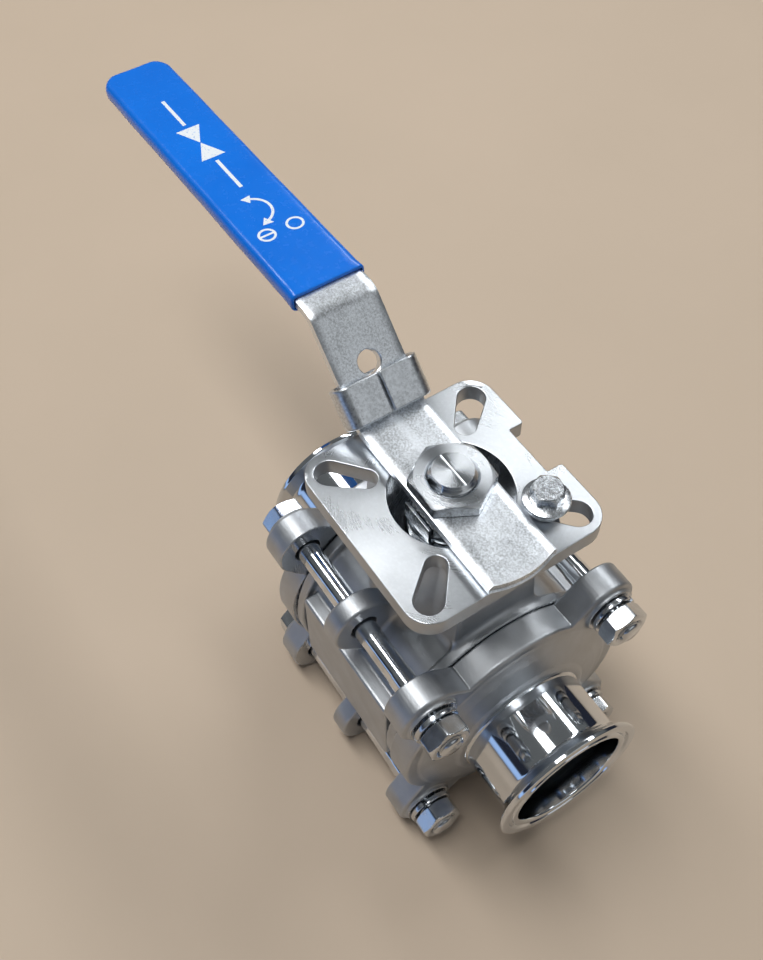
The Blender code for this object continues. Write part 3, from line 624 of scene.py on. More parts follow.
QUADRANT = cap_quadrant()
HUB = rounded([(CAP_X1 - 3.0, -5.0, 0), (CAP_X1 - 3.0, 35.4, 0), (CAP_X1, 35.4, 0.6),
               (CAP_X1 + 1.6, 31.0, 2.0), (CAP_X1 + 2.7, 27.0, 6.0), (CAP_X1 + 3.4, 24.6, 1.0),
               (HUB_X - 0.2, 23.3, 0.8), (HUB_X, 22.4, 0.3), (HUB_X, -5.0, 0)])


def cap_field(x, y, z):
    """Front cap: ears, hub, bosses, bore and bolt holes."""
    ay, az, rad = np.abs(y), np.abs(z), np.hypot(y, z)
    plate = polygon(QUADRANT, ay, az) + waver(x, y, z, 0.06)
    plate = common(plate, x - CAP_X1, 1.0)
    plate = common(plate, CAP_X0 - x, 0.5)
    hub = polygon(HUB, x, rad)
    solid = join(plate, hub, 1.2)
    bolt = np.hypot(ay - BOLT_Y, az - BOLT_Y)
    boss = common(common(bolt - BOSS_R, x - BOSS_X, 0.35), CAP_X1 - 2.0 - x)
    solid = join(solid, boss, 0.8)
    solid = cut(solid, bolt - BOLT_HOLE_R, 0.3)
    solid = cut(solid, rad - BORE_R)
    return cut(solid, common(rad - SOCKET_R, SOCKET_X - x), 0.25)


def end_cap(name, side):
    def choose(middle, facing):
        bolt = np.hypot(np.abs(middle[:, 1]) - BOLT_Y, np.abs(middle[:, 2]) - BOLT_Y)
        spot_face = (bolt < BOSS_R - 0.3) & (middle[:, 0] * side > BOSS_X - 0.15)
        return spot_face | (middle[:, 0] * side < CAP_X0 + 0.1)

    def field(x, y, z):
        return cap_field(side * x, y, z)

    ends = sorted((side * (CAP_X0 - 1.2), side * (HUB_X + 1.2)))
    skinned(name, field, (ends[0], -43.6, -43.6), (ends[1], 43.6, 43.6), 0.55, choose, name)


# ---- centre body ----------------------------------------------------------------------------------
HIDE = 0.5               # how far the casting's skin stays inside the crisp pad plate
WELL_Z = 50.0            # floor of the casting's own well, below the plate's


def body_field(x, y, z):
    ax, ay, az, rad = np.abs(x), np.abs(y), np.abs(z), np.hypot(y, z)
    solid = common(rad - BARREL_R, ax - BODY_X, 0.3)
    collar = common(rad - BODY_FLANGE_R, ax - BODY_X, 0.6)
    collar = common(collar, BODY_X - BODY_FLANGE_T - ax, 0.7)
    solid = join(solid, collar, 0.9)
    along, across = (ay + az) * ROOT - BOLT_Y / ROOT, (az - ay) * ROOT
    lug = np.where(along > 0, np.hypot(along, across), np.abs(across)) - LUG_R
    solid = join(solid, common(lug, ax - LUG_X, 0.9), 1.6)
    panel = common(common(ax - PANEL_X, az - PANEL_Z, 0.8), ay - PANEL_Y, 1.0)
    solid = join(solid, panel, 0.7)
    foot = common(common(ax - FOOT_X, ay - FOOT_Y, 1.5), -ZC - z, 0.8)
    solid = join(solid, common(foot, z + 25.0), 1.6)
    draft = (PAD_TOP - 3.0 - z) / 43.2
    rib = common(ax - (RIB_X + draft), ay - (RIB_Y + 3.0 * draft), 1.2)
    neck = np.hypot(x, y) - (NECK_R + np.maximum(0.0, 46.0 - z) * 0.1)
    column = common(common(join(rib, neck, 1.4), z - (PAD_TOP - 2.0)), 20.0 - z)
    solid = join(solid, column, 2.4)
    solid = solid + waver(x, y, z)
    core = PAD_A - HIDE
    flat = np.maximum(ax, ay) - core
    turn = np.hypot(np.maximum(ax - PAD_A + PAD_CORNER, 0), np.maximum(ay - PAD_A + PAD_CORNER, 0))
    turn = turn - PAD_CORNER + HIDE
    pad = np.where((ax > PAD_A - PAD_CORNER) & (ay > PAD_A - PAD_CORNER), turn, flat)
    pad = cut(pad, common(ax - NOTCH_W - HIDE, NOTCH_IN - HIDE - y))
    pad = cut(pad, common(ay - NOTCH_W - HIDE, NOTCH_IN - HIDE + x))
    pad = common(pad, z - PAD_TOP + 2.0, 0.45)
    pad = common(pad, PAD_TOP - PAD_T + 0.2 - z, 0.3)
    solid = join(solid, pad, 1.6)
    solid = common(solid, z - PAD_TOP + 2.0)
    bore = np.minimum(common(rad - GASKET_R, GASKET_X - ax), rad - CAVITY_R)
    solid = cut(solid, bore, 0.25)
    rxy = np.hypot(x, y)
    well = common(rxy - RECESS_R - HIDE, WELL_Z - z)
    well = np.minimum(well, common(rxy - BOX_R, BOX_Z - z))
    well = np.minimum(well, common(rxy - STEM_HOLE_R, 20.0 - z))
    well = np.minimum(well, common(common(rxy - SHOULDER_BORE_R, 20.0 - z), z - SHOULDER_TOP))
    solid = cut(solid, well, 0.35)
    s, t = (ax + ay) * ROOT - SLOT_IN[0], np.abs(ax - ay) * ROOT
    length = SLOT_OUT[0] - SLOT_IN[0]
    slope = (SLOT_OUT[1] - SLOT_IN[1]) / length
    slot = np.where(s < 0, np.hypot(s, t) - SLOT_IN[1],
                    np.where(s > length, np.hypot(s - length, t) - SLOT_OUT[1], t - SLOT_IN[1] - slope * s))
    slot = common(slot - HIDE, PAD_TOP - PAD_T - 2.5 - z)
    solid = cut(solid, slot, 0.4)
    bolt = np.hypot(ay - BOLT_Y, az - BOLT_Y) - BOLT_HOLE_R
    return cut(solid, bolt, 0.3)


def centre_body():
    def choose(middle, facing):
        return (np.abs(middle[:, 0]) > BODY_X - 0.15) & (np.abs(facing[:, 0]) > 0.7)

    skinned("body_casting", body_field, (-33.0, -43.4, -43.6), (33.0, 43.4, 71.2), 0.76, choose, "body")


def slot_outline(steps=14):
    """Tapered slot along X: small end nearest the stem."""
    lean = math.degrees(math.asin((SLOT_OUT[1] - SLOT_IN[1]) / (SLOT_OUT[0] - SLOT_IN[0])))
    return (arc(SLOT_OUT[0], 0.0, SLOT_OUT[1], -90.0 - lean, 90.0 + lean, steps)
            + arc(SLOT_IN[0], 0.0, SLOT_IN[1], 90.0 + lean, 270.0 - lean, steps))


def prism(outline, z0, z1, turn=0.0):
    c, s = math.cos(turn), math.sin(turn)
    return ringed([[(x * c - y * s, x * s + y * c, z) for x, y in outline] for z in (z0, z1)], False)


WHOLE_FACE = 0.0001      # square metres: larger faces are flat and stay so


def pad_plate():
    """Milled pad: crisp plate with its slots and notches, and the bored well below it."""
    a, w, n = PAD_A, NOTCH_W, NOTCH_IN
    left_notch = [(w, a, 0.9), (w, n, 0.6), (-w, n, 0.6), (-w, a, 0.9)]
    rear_notch = [(-a, w, 0.9), (-n, w, 0.6), (-n, -w, 0.6), (-a, -w, 0.9)]
    corners = [(a, -a, PAD_CORNER), (a, a, PAD_CORNER)] + left_notch + [(-a, a, PAD_CORNER)]
    outline = rounded(corners + rear_notch + [(-a, -a, PAD_CORNER)], True, 12)
    solid = prism(outline, PAD_TOP - PAD_T, PAD_TOP)
    obj = piece("body_pad_plate", solid, [CAST, PAD_FACE, TURNED], "body", 30.0, extra=True)
    carve(obj, lathe([(WELL_Z - 1.0, RECESS_R + 1.2), (PAD_TOP - 1.5, RECESS_R + 1.2)], "z"), "UNION")
    well = [(WELL_Z - 3.0, BOX_R), (RECESS_Z - 0.4, BOX_R), (RECESS_Z, BOX_R + 0.4), (RECESS_Z, RECESS_R)]
    carve(obj, lathe(well + [(PAD_TOP + 2.0, RECESS_R)], "z"))
    for k in range(4):
        carve(obj, prism(slot_outline(), PAD_TOP - PAD_T - 2.0, PAD_TOP + 2.0, math.radians(45 + 90 * k)))
    bevel(obj, 0.4, 3, 40.0)
    obj.data.set_sharp_from_angle(angle=math.radians(40))
    for face in obj.data.polygons:
        top = face.normal.z > 0.7 and face.center.z > (ZC + PAD_TOP - 0.3) * MM
        bored = math.hypot(face.center.x, face.center.y) < (RECESS_R + 0.5) * MM
        face.material_index = 1 if top else (2 if bored else 0)
        face.use_smooth = face.area < WHOLE_FACE


# ---- turned and formed parts ------------------------------------------------------------------------
def ferrule(name, side):
    """Clamp end: tube, flared lip and the face with its gasket groove."""
    x = FERRULE_X
    section = [(SOCKET_X + GAP, BORE_R, 0.1), (SOCKET_X + GAP, TUBE_R, 0.1), (x - 4.3, TUBE_R, 2.2),
               (x - LIP_T, FERRULE_R - 0.25, 0.25), (x - LIP_T + 0.5, FERRULE_R, 0.3), (x, FERRULE_R, 0.35),
               (x, GROOVE_R + 0.9, 0.12), (x - 0.8, GROOVE_R + 0.5, 0.25), (x - 0.8, GROOVE_R - 0.5, 0.25),
               (x, GROOVE_R - 0.9, 0.12), (x, BORE_R, 0.7)]
    profile = [(side * a, r) for a, r in rounded(section, True)]
    piece(name + "_tube", lathe(profile, "x", 320, closed=True), MIRROR, name, 50.0)


def weld(label, side):
    """Small bead that fills the joint between the cap's hub and the ferrule."""
    section = [(HUB_X - 1.2, TUBE_R + 0.01, 0), (HUB_X - 1.2, SOCKET_R + 0.05, 0),
               (HUB_X - 0.05, SOCKET_R + 0.45, 0.2), (HUB_X + 0.35, SOCKET_R + 0.25, 0.3),
               (HUB_X + 0.75, TUBE_R + 0.01, 0)]
    profile = [(side * a, r) for a, r in rounded(section, True)]
    solid = lathe(profile, "x", 160, closed=True)
    piece("weld_bead_" + label, solid, BRIGHT, "ferrule_" + label, 40.0, extra=True)


def seat(name, side):
    """Ring with a hollow face that the ball turns in."""
    start, end, lip = 15.2, 21.4, 22.2
    r = BALL_R + GAP
    section = [(BODY_X, BORE_R + 0.3), (BODY_X, CAVITY_R - GAP), (start, CAVITY_R - GAP)]
    section += [(a, math.sqrt(r * r - a * a)) for a in np.linspace(start, end, 10)]
    section.append((lip, BORE_R + 0.3))
    piece(name + "_ring", lathe([(side * a, b) for a, b in section], "x", closed=True), PTFE, name)


def ball():
    """Ball with its bore and the slot that the stem's tang sits in."""
    edge = math.asin((BORE_R + 0.25) / BALL_R)
    section = [(BALL_R * math.cos(t), BALL_R * math.sin(t)) for t in np.linspace(edge, math.pi - edge, 48)]
    inner = BALL_R * math.cos(edge) - 0.4
    section += [(-inner, BORE_R), (inner, BORE_R)]
    obj = piece("valve_ball", lathe(section, "x", 128, closed=True), MIRROR, "ball", 40.0)
    half = TANG_X + GAP
    slot = [(half, TANG_Z - GAP), (half, BALL_R + 2), (-half, BALL_R + 2), (-half, TANG_Z - GAP)]
    carve(obj, ringed([[(x, y, z) for x, z in slot] for y in (-BALL_R, BALL_R)], False))
    obj.data.set_sharp_from_angle(angle=math.radians(40))


def thread(start, stop, crest, root, land=0.45, valley=0.1):
    """Rings of a thread up to stop; crest and root are radii or outline rules."""
    rings = []
    while start < stop:
        rings += [(start, crest), (start + land, crest), (start + land + 0.35, root),
                  (start + land + 0.35 + valley, root)]
        start += THREAD_PITCH
    return rings


def body_bolt(i, y, z, turn):
    """Head behind the rear cap, polished shank, rolled thread with a domed point."""
    under, shank_end, thread_start = -BOSS_X - GAP, 22.0, 39.0
    top, seating = under - 5.4, under - 0.25
    rings = [(top, 3.2), (top, 0.475 * BOLT_AF - 0.5)] + hex_rings(top, seating, BOLT_AF, True, False)
    rings += [(seating, 5.9), (under, 5.9), (under, SHANK_R), (shank_end, SHANK_R)]
    rings += [(shank_end + 0.6, BOLT_THREAD_R)]
    rings += thread(thread_start, BOLT_END_X - 1.1, BOLT_THREAD_R, BOLT_THREAD_R - 0.4, 0.5, 0.15)
    rings += [(BOLT_END_X - 0.8, BOLT_THREAD_R - 0.05), (BOLT_END_X - 0.25, 3.45)]
    rings += [(BOLT_END_X, 2.9), (BOLT_END_X, 0.6)]
    solid = lathe(rings, "x", centre=(0, y, z), turn=turn)
    obj = piece("body_bolt_%d_full" % i, solid, [BRIGHT, SHANK], "body_bolt_%d" % i, 30.0)
    for face in obj.data.polygons:
        if under * MM < face.center.x < (thread_start - 1.0) * MM:
            face.material_index = 1


def hex_nut(node, axis, a0, a1, af, bore, materials=None, both=True, flat=0.475, sink=0.7, **lay):
    """Nut from a0 to a1, chamfered there and, if both, at a0 too; a second material is its upper faces'."""
    sign = 1.0 if a1 > a0 else -1.0
    rings = [(a0, bore + (0.5 if both else 0.1))] + ([(a0, flat * af - 0.3)] if both else [])
    rings += hex_rings(a0, a1, af, both, True, flat=flat)
    rings += [(a1, flat * af - 0.3), (a1, bore + sink + 0.2), (a1 - sign * 0.12, bore + sink),
              (a1 - sign * (0.12 + sink), bore)]
    lay.setdefault("n", 120)
    obj = piece(node + "_hex", lathe(rings, axis, closed=True, **lay), materials or BRIGHT, node, 26.0)
    if materials:
        for face in obj.data.polygons:
            face.material_index = 1 if face.normal.z > 0.6 else 0


def spring_washer(i, y, z, turn):
    """Split ring whose two ends stand a little apart along X."""
    x0, x1 = BOSS_X + GAP, BOSS_X + GAP + SPRING_WASHER_T
    inner, outer, rise, steps = 4.3, 7.3, 0.35, 48
    rings = []
    for j in range(steps + 1):
        share = j / steps
        t = turn + math.radians(6 + 348 * share)
        a, b = x0 + rise * share, x1 - rise * (1 - share)
        section = rounded([(a, inner, 0.25), (a, outer, 0.3), (b, outer, 0.3), (b, inner, 0.25)], True, 2)
        rings.append([(h, y + r * math.cos(t), z + r * math.sin(t)) for h, r in section])
    piece("spring_washer_%d_split" % i, ringed(rings, False), BRIGHT, "spring_washer_%d" % i, 45.0)


# ---- lever ------------------------------------------------------------------------------------------
def lever_path(steps):
    """Stations along the lever's top from tail to grip end: point and heading in (x, z)."""
    grip = math.atan2(BEND2_Z - GRIP_END_Z, BEND2_X - GRIP_END_X)
    first, second = Vector((BEND1_X, BAR_TOP)), Vector((BEND2_X, BEND2_Z))
    ways = [Vector((-1.0, 0.0)), (second - first).normalized(), Vector((-math.cos(grip), -math.sin(grip)))]
    stations = [(Vector((TAIL_X, BAR_TOP)), ways[0])]
    for corner, before, after, inner in ((first, ways[0], ways[1], True), (second, ways[1], ways[2], False)):
        turn = before.angle_signed(after)
        r = BEND_R - BAR_T / 2 if inner else BEND_R + BAR_T / 2
        start = corner - before * (r * math.tan(abs(turn) / 2))
        side = Vector((before.y, -before.x)) if turn > 0 else Vector((-before.y, before.x))
        centre = start + side * r
        spoke = start - centre
        for i in range(steps + 1):
            ca, sa = math.cos(turn * i / steps), math.sin(turn * i / steps)
            heading = Vector((before.x * ca + before.y * sa, before.y * ca - before.x * sa))
            reach = Vector((spoke.x * ca + spoke.y * sa, spoke.y * ca - spoke.x * sa))
            stations.append((centre + reach, heading))
    stations.append((Vector((GRIP_END_X, GRIP_END_Z)), ways[2]))
    return stations


def normal_of(heading):
    return Vector((heading.y, -heading.x))


def slope_point(s, n):
    return Vector((BEND1_X - ROOT * s + ROOT * n, BAR_TOP + ROOT * s + ROOT * n))


EDGE_IN = 1.2            # the sheared edge is worn over this much of the face
EDGE_R = 0.45            # and broken by this much at the corner


def handle():
    """Sheet lever: bar, two bends, grip; tail end sheared to a shallow curve, edges broken."""
    stations = lever_path(10)
    (tail, tail_way), (end, end_way) = stations[0], stations[-1]
    end = end - end_way * 3.0
    stations[1:1] = [(tail + tail_way * inward, tail_way) for inward in (2.2, 6.0)]
    stations[-1:] = [(end - end_way * 7.0, end_way), (end, end_way)]
    e = EDGE_R
    rings = []
    lanes = [k / 5 for k in range(-5, 6)]
    for i, (point, heading) in enumerate(stations):
        up = normal_of(heading)
        last = i == len(stations) - 1
        for trim in ((e, 0.0) if i == 0 else ((0.0, e) if last else (0.0,))):
            width = (BAR_W - 4.5 if last else BAR_W) - trim
            ring = []
            for level, lane_list in ((0.0, lanes), (-BAR_T, lanes[::-1])):
                for lane in lane_list:
                    y = lane * (width - EDGE_IN)
                    bulge = TAIL_BULGE * (1 - lane * lane) if i in (0, 1) else 0.0
                    shift = -bulge + (trim if i == 0 else 0.0)
                    inward = trim * (1 if level == 0.0 else -1)
                    place = point + heading * shift + up * (level - inward)
                    ring.append((place.x, y, place.y))
                edge_levels = (-e, -BAR_T + e) if level == 0.0 else (-BAR_T + e, -e)
                side = 1.0 if level == 0.0 else -1.0
                for lower in edge_levels:
                    shift = trim if i == 0 else 0.0
                    place = point + heading * shift + up * lower
                    ring.append((place.x, side * width, place.y))
            rings.append(ring)
    obj = piece("lever_plate", ringed(rings, False), SHEET, "handle", 30.0)
    mid = slope_point(LOCK_HOLE_S, 0.0)
    up, along = Vector((ROOT, ROOT)), Vector((-ROOT, ROOT))
    rings = []
    for depth, r in ((0.6, LOCK_HOLE_R + 0.95), (-0.35, LOCK_HOLE_R), (-BAR_T + 0.35, LOCK_HOLE_R),
                     (-BAR_T - 0.6, LOCK_HOLE_R + 0.95)):
        rings.append([])
        for j in range(64):
            t = 2 * math.pi * j / 64
            place = mid + up * depth + along * (r * math.cos(t))
            rings[-1].append((place.x, r * math.sin(t), place.y))
    carve(obj, ringed(rings, False))
    outline = keyed(THREAD_R + GAP, FLAT_HIGH + GAP)
    carve(obj, lathe([(BAR_TOP - BAR_T - 2, outline), (BAR_TOP + 2, outline)], "z", 72))
    obj.data.set_sharp_from_angle(angle=math.radians(28))
    obj.data.materials.clear()
    obj.data.materials.append(SHEET)


def rounded_box(half, low, high, r, steps=5):
    """Rounded rectangle in (y, n) with its four corner arcs."""
    out = []
    for cy, cn, start in ((half - r, high - r, 90), (half - r, low + r, 0), (-half + r, low + r, -90),
                          (-half + r, high - r, -180)):
        out += arc(cy, cn, r, start, start - 90, steps)
    return out


def sleeve_line():
    """The sleeve's near end on the lever's top, its heading, the way up and its length."""
    end, heading = lever_path(1)[-1]
    length = (end.x - SLEEVE_NEAR_X) / heading.x
    return end - heading * length, heading, normal_of(heading), length


SLEEVE_HOLLOW = 0.10     # how far the middle of its faces sinks
SLEEVE_END_R, SLEEVE_LIP = 6.0, 0.55


def sleeve():
    """Dipped vinyl sheath: thick soft edges, faint hollows along its faces, rounded end."""
    near, heading, up, length = sleeve_line()

    def section(distance, half, low, high, r, crown):
        """Rounded rectangle with extra points across its flat faces, which sink by crown."""
        base = near + heading * distance
        outline = []
        corners = rounded_box(half, low, high, r)
        for (y, n), (y1, n1) in zip(corners, corners[1:] + corners[:1]):
            parts = 12 if math.hypot(y1 - y, n1 - n) > 6.0 else 1
            outline += [(y + (y1 - y) * k / parts, n + (n1 - n) * k / parts) for k in range(parts)]
        ring = []
        for y, n in outline:
            middle = max(0.0, 1.0 - (y / half) ** 2)
            place = base + up * (n + crown * middle * (1 if n > (low + high) / 2 else -1))
            ring.append((place.x, y, place.y))
        return ring

    rings = [section(distance, half + GAP, -BAR_T - GAP, GAP, 0.6, 0.0)
             for distance, half in ((length - 2.4, BAR_W - 4.2), (length - 9.8, BAR_W), (0.0, BAR_W))]
    low, high = -BAR_T - SLEEVE_T, SLEEVE_T
    for k in range(5):
        t = math.radians(90 * k / 4)
        tuck = SLEEVE_LIP * (1 - math.sin(t))
        distance = SLEEVE_LIP * (1 - math.cos(t))
        rings.append(section(distance, SLEEVE_W - tuck, low + tuck, high - tuck, 1.9, 0.0))
    for k in range(1, 40):
        share = k / 40
        distance = SLEEVE_LIP + (length - SLEEVE_END_R - 0.6) * share
        wave = 0.05 * math.sin(share * 9.0) + 0.04 * math.sin(share * 23.0 + 1.0)
        rings.append(section(distance, SLEEVE_W - 0.08 + wave, low + 0.06, high - 0.06, 2.3, -SLEEVE_HOLLOW))
    for k in range(13):
        t = math.radians(90.0 * k / 12 * 0.97)
        tuck = SLEEVE_END_R * (1 - math.cos(t)) + 0.05
        thin = 1.3 * max(0.0, (k - 7) / 5) ** 2
        rings.append(section(length - SLEEVE_END_R * (1 - math.sin(t)), SLEEVE_W - tuck, low + 0.05 + thin,
                             high - 0.05 - thin, 2.3 - thin * 0.9, -SLEEVE_HOLLOW))
    piece("grip_sleeve_vinyl", ringed(rings, False), VINYL, "grip_sleeve", 50.0)


def collar():
    """Folded sheet collar with the seam on top and its tongue under the near edge."""
    half, low, high, t, seam, r = COLLAR_W, COLLAR_BOTTOM, COLLAR_TOP, COLLAR_T, 0.25, 4.2
    outer = [(seam, high)] + rounded_box(half, low, high, r, 9) + [(-seam, high)]
    inner = [(seam, high - t)] + rounded_box(half - t, low + t, high - t, r - t, 9) + [(-seam, high - t)]
    count = len(outer)
    points, faces = [], []
    for s in (COLLAR_S0, COLLAR_S1):
        for loop in (outer, inner):
            for y, n in loop:
                place = slope_point(s, n)
                points.append((place.x, y, place.y))
    o0, i0, o1, i1 = 0, count, 2 * count, 3 * count
    for j in range(count - 1):
        k = j + 1
        faces += [(o0 + j, o0 + k, o1 + k, o1 + j), (i0 + j, i1 + j, i1 + k, i0 + k),
                  (o0 + j, i0 + j, i0 + k, o0 + k), (o1 + j, o1 + k, i1 + k, i1 + j)]
    faces += [(o0, o1, i1, i0), (o0 + count - 1, i0 + count - 1, i1 + count - 1, o1 + count - 1)]
    bevel(piece("lock_collar_fold", outward(points, faces), COLLAR_STEEL, "lock_collar", 35.0), 0.6, 4, 40.0)
    outline = [slope_point(s, n) for s, n in ((3.2, -5.0), (3.2, -6.1), (1.6, -6.3))]
    foot = ((-34.9, 0.4), (-31.9, 0.4), (-31.9, 1.0), (-33.4, 1.6))
    outline += [Vector((x, PAD_TOP + rise)) for x, rise in foot]
    rings = [[(spot.x, y, spot.y) for spot in outline] for y in (-TONGUE_W, TONGUE_W)]
    tongue = piece("lock_collar_tongue", ringed(rings, False), COLLAR_STEEL, "lock_collar", 35.0, extra=True)
    bevel(tongue, 0.12, 2, 30.0)


# ---- stem stack -------------------------------------------------------------------------------------
def box_rule(hx, hy):
    """Rule for a rectangle's outline."""
    def rule(t):
        c, s = np.maximum(1e-9, np.abs(np.cos(t))), np.maximum(1e-9, np.abs(np.sin(t)))
        return np.minimum(hx / c, hy / s)
    return rule


def stem():
    """Tang, shoulder, round shaft and threaded end with two pairs of flats and a grooved end face."""
    tang, shoulder0, shoulder1, root = box_rule(TANG_X, TANG_Y), 29.8, 31.8, THREAD_R - 0.45
    low, high = keyed(THREAD_R, FLAT_LOW), keyed(THREAD_R, FLAT_HIGH)
    rings = [(TANG_Z, tang), (shoulder0, tang), (shoulder0, SHOULDER_R), (shoulder1, SHOULDER_R),
             (shoulder1, STEM_R), (STEP_Z - 0.6, STEM_R), (STEP_Z, low)]
    rings += thread(STEP_Z + 0.6, SEAT_Z - 0.5, low, keyed(root, FLAT_LOW))
    rings += [(SEAT_Z, low), (SEAT_Z + 0.05, high)]
    rings += thread(SEAT_Z + 0.4, STEM_TOP - 2.4, high, keyed(root, FLAT_HIGH))
    rings += [(STEM_TOP - 1.35, high), (STEM_TOP - 0.15, keyed(STEM_FACE_R + 0.12, FLAT_HIGH)),
              (STEM_TOP, keyed(STEM_FACE_R, FLAT_HIGH)), (STEM_TOP, 3.0), (STEM_TOP - 0.02, 0.5)]
    obj = piece("stem_shaft", lathe(rings, "z", 120), [STEM_STEEL, STEM_END], "stem", 28.0)
    groove = arc(0.0, STEM_TOP + 0.30, 0.53, 180.0, 360.0, 10)
    carve(obj, ringed([[(x, y, z) for y, z in groove] for x in (-THREAD_R, THREAD_R)], False))
    for face in obj.data.polygons:
        if face.center.z > (ZC + STEM_TOP - 0.08) * MM:
            face.material_index = 1
    obj.data.set_sharp_from_angle(angle=math.radians(28))


def washer(name, node, inner, outer, a0, a1, centre=(0, 0, 0)):
    """Flat ring with broken outer edges; inner is a radius or the hole's outline rule."""
    e = min(0.2, abs(a1 - a0) * 0.25)
    rings = [(a0, inner), (a0, outer - e), (a0 + e, outer), (a1 - e, outer), (a1, outer - e), (a1, inner)]
    piece(name, lathe(rings, "z", centre=centre, closed=True), BRIGHT, node)


def disc_spring(node, z_in, z_out):
    """Coned ring: z_in is its underside at the hole, z_out at the rim."""
    inner, outer, t = 8.4, 12.4, 0.7
    rings = [(z_in, inner), (z_out, outer - 0.1), (z_out + 0.1, outer), (z_out + t - 0.1, outer),
             (z_out + t, outer - 0.1), (z_in + t, inner)]
    piece(node + "_cone", lathe(rings, "z", closed=True), BRIGHT, node)


def tab_washer():
    """Lock washer keyed to the stem, with one tab folded up beside the nut."""
    z0, z1 = TAB_WASHER
    washer("tab_washer_disc", "tab_washer", keyed(THREAD_R + GAP, FLAT_LOW + GAP), 11.2, z0, z1)
    outline = rounded([(-8.9, z0 + 0.05, 0), (-11.7, z0 + 0.05, 1.3), (-11.7, 69.8, 0), (-10.7, 69.8, 0),
                       (-10.7, z1 - 0.05, 0.3), (-8.9, z1 - 0.05, 0)], True, 5)
    solid = ringed([[(x, y, z) for y, z in outline] for x in (-5.9, 5.9)], False)
    bevel(piece("tab_washer_tab", solid, BRIGHT, "tab_washer", 30.0, extra=True), 0.15, 2, 40.0)


def stop_bolt():
    """Flanged stop screw with a hexagon head."""
    (seat_z, top), r = STOP_HEAD, STOP_FLANGE_R
    rings = [(58.8, 1.6), (59.0, 2.0), (59.4, 2.45), (seat_z, 2.45), (seat_z, r - 0.3), (seat_z + 0.2, r),
             (seat_z + 0.7, r), (seat_z + 0.95, r - 0.2), (seat_z + 1.6, 5.3), (seat_z + 1.65, 4.95),
             (seat_z + 1.7, hexagon(STOP_AF))]
    rings += hex_rings(seat_z + 1.8, top, STOP_AF, False, True, flat=0.478)[1:] + [(top, 0.4)]
    solid = lathe(rings, "z", 120, AT_STOP, math.radians(-10))
    piece("stop_bolt_screw", solid, DULL, "stop_bolt", 26.0)


# ---- marks printed on the sleeve ------------------------------------------------------------------
def ink(name, loops):
    """Flat print on the sleeve's top: each loop is (distance from the near end, y)."""
    near, heading, up, _ = sleeve_line()
    points, faces = [], []
    for loop in loops:
        low, high = [], []
        for distance, y in loop:
            skin_n = SLEEVE_T - 0.06 - SLEEVE_HOLLOW * (1 - (y / SLEEVE_W) ** 2)
            for group, n in ((low, skin_n - 0.1), (high, skin_n + 0.02)):
                place = near + heading * distance + up * n
                group.append((place.x, y, place.y))
        base, n = len(points), len(loop)
        points += low + high
        faces += [tuple(base + i for i in range(n)), tuple(base + n + i for i in reversed(range(n)))]
        faces += [(base + i, base + n + i, base + n + (i + 1) % n, base + (i + 1) % n) for i in range(n)]
    piece(name, outward(points, faces), INK, "grip_sleeve", 30.0, extra=True)


def band(cx, cy, r, width, start, end, steps=24):
    """Closed outline of a bent band."""
    return arc(cx, cy, r + width / 2, start, end, steps) + arc(cx, cy, r - width / 2, end, start, steps)


def arrow_head(cx, cy, r, at, size, way):
    """Triangle at an angle on a circle, pointing along it."""
    t = math.radians(at)
    tip = (cx + r * math.cos(t) - way * size * math.sin(t), cy + r * math.sin(t) + way * size * math.cos(t))
    wide = size * 0.62
    return [tip, (cx + (r + wide) * math.cos(t), cy + (r + wide) * math.sin(t)),
            (cx + (r - wide) * math.cos(t), cy + (r - wide) * math.sin(t))]


def ring_mark(cx, cy):
    return [band(cx, cy, 2.5, 0.8, start, start + 180) for start in (0, 180)]


def bar(start, end, low, high):
    return [(start, low), (end, low), (end, high), (start, high)]


def sleeve_marks():
    """Turn arrow between an open ring and a barred ring, then a pipe line through the usual valve sign."""
    cx, cy, r, near = 38.5, -3.4, 6.4, 27.0
    heads = [arrow_head(cx, cy, r, at, 3.0, way) for at, way in ((25, -1), (155, 1))]
    ink("grip_mark_arrow", [band(cx, cy, r, 0.9, 25, 155)] + heads)
    ink("grip_mark_open", ring_mark(near, 5.0))
    ink("grip_mark_shut", ring_mark(near, -4.6) + [bar(near - 0.4, near + 0.4, -6.8, -2.4)])
    mid, tip, base, line_end, half, thin = 78.0, 0.1, 9.0, 27.0, 4.2, 0.6
    signs = [[(mid - base, -half), (mid - tip, 0.0), (mid - base, half)],
             [(mid + base, half), (mid + tip, 0.0), (mid + base, -half)]]
    spans = ((mid - line_end, mid - base - 2.0), (mid + base + 2.0, mid + line_end))
    lines = [bar(start, end, -thin, thin) for start, end in spans]
    ink("grip_mark_valve", signs + lines)


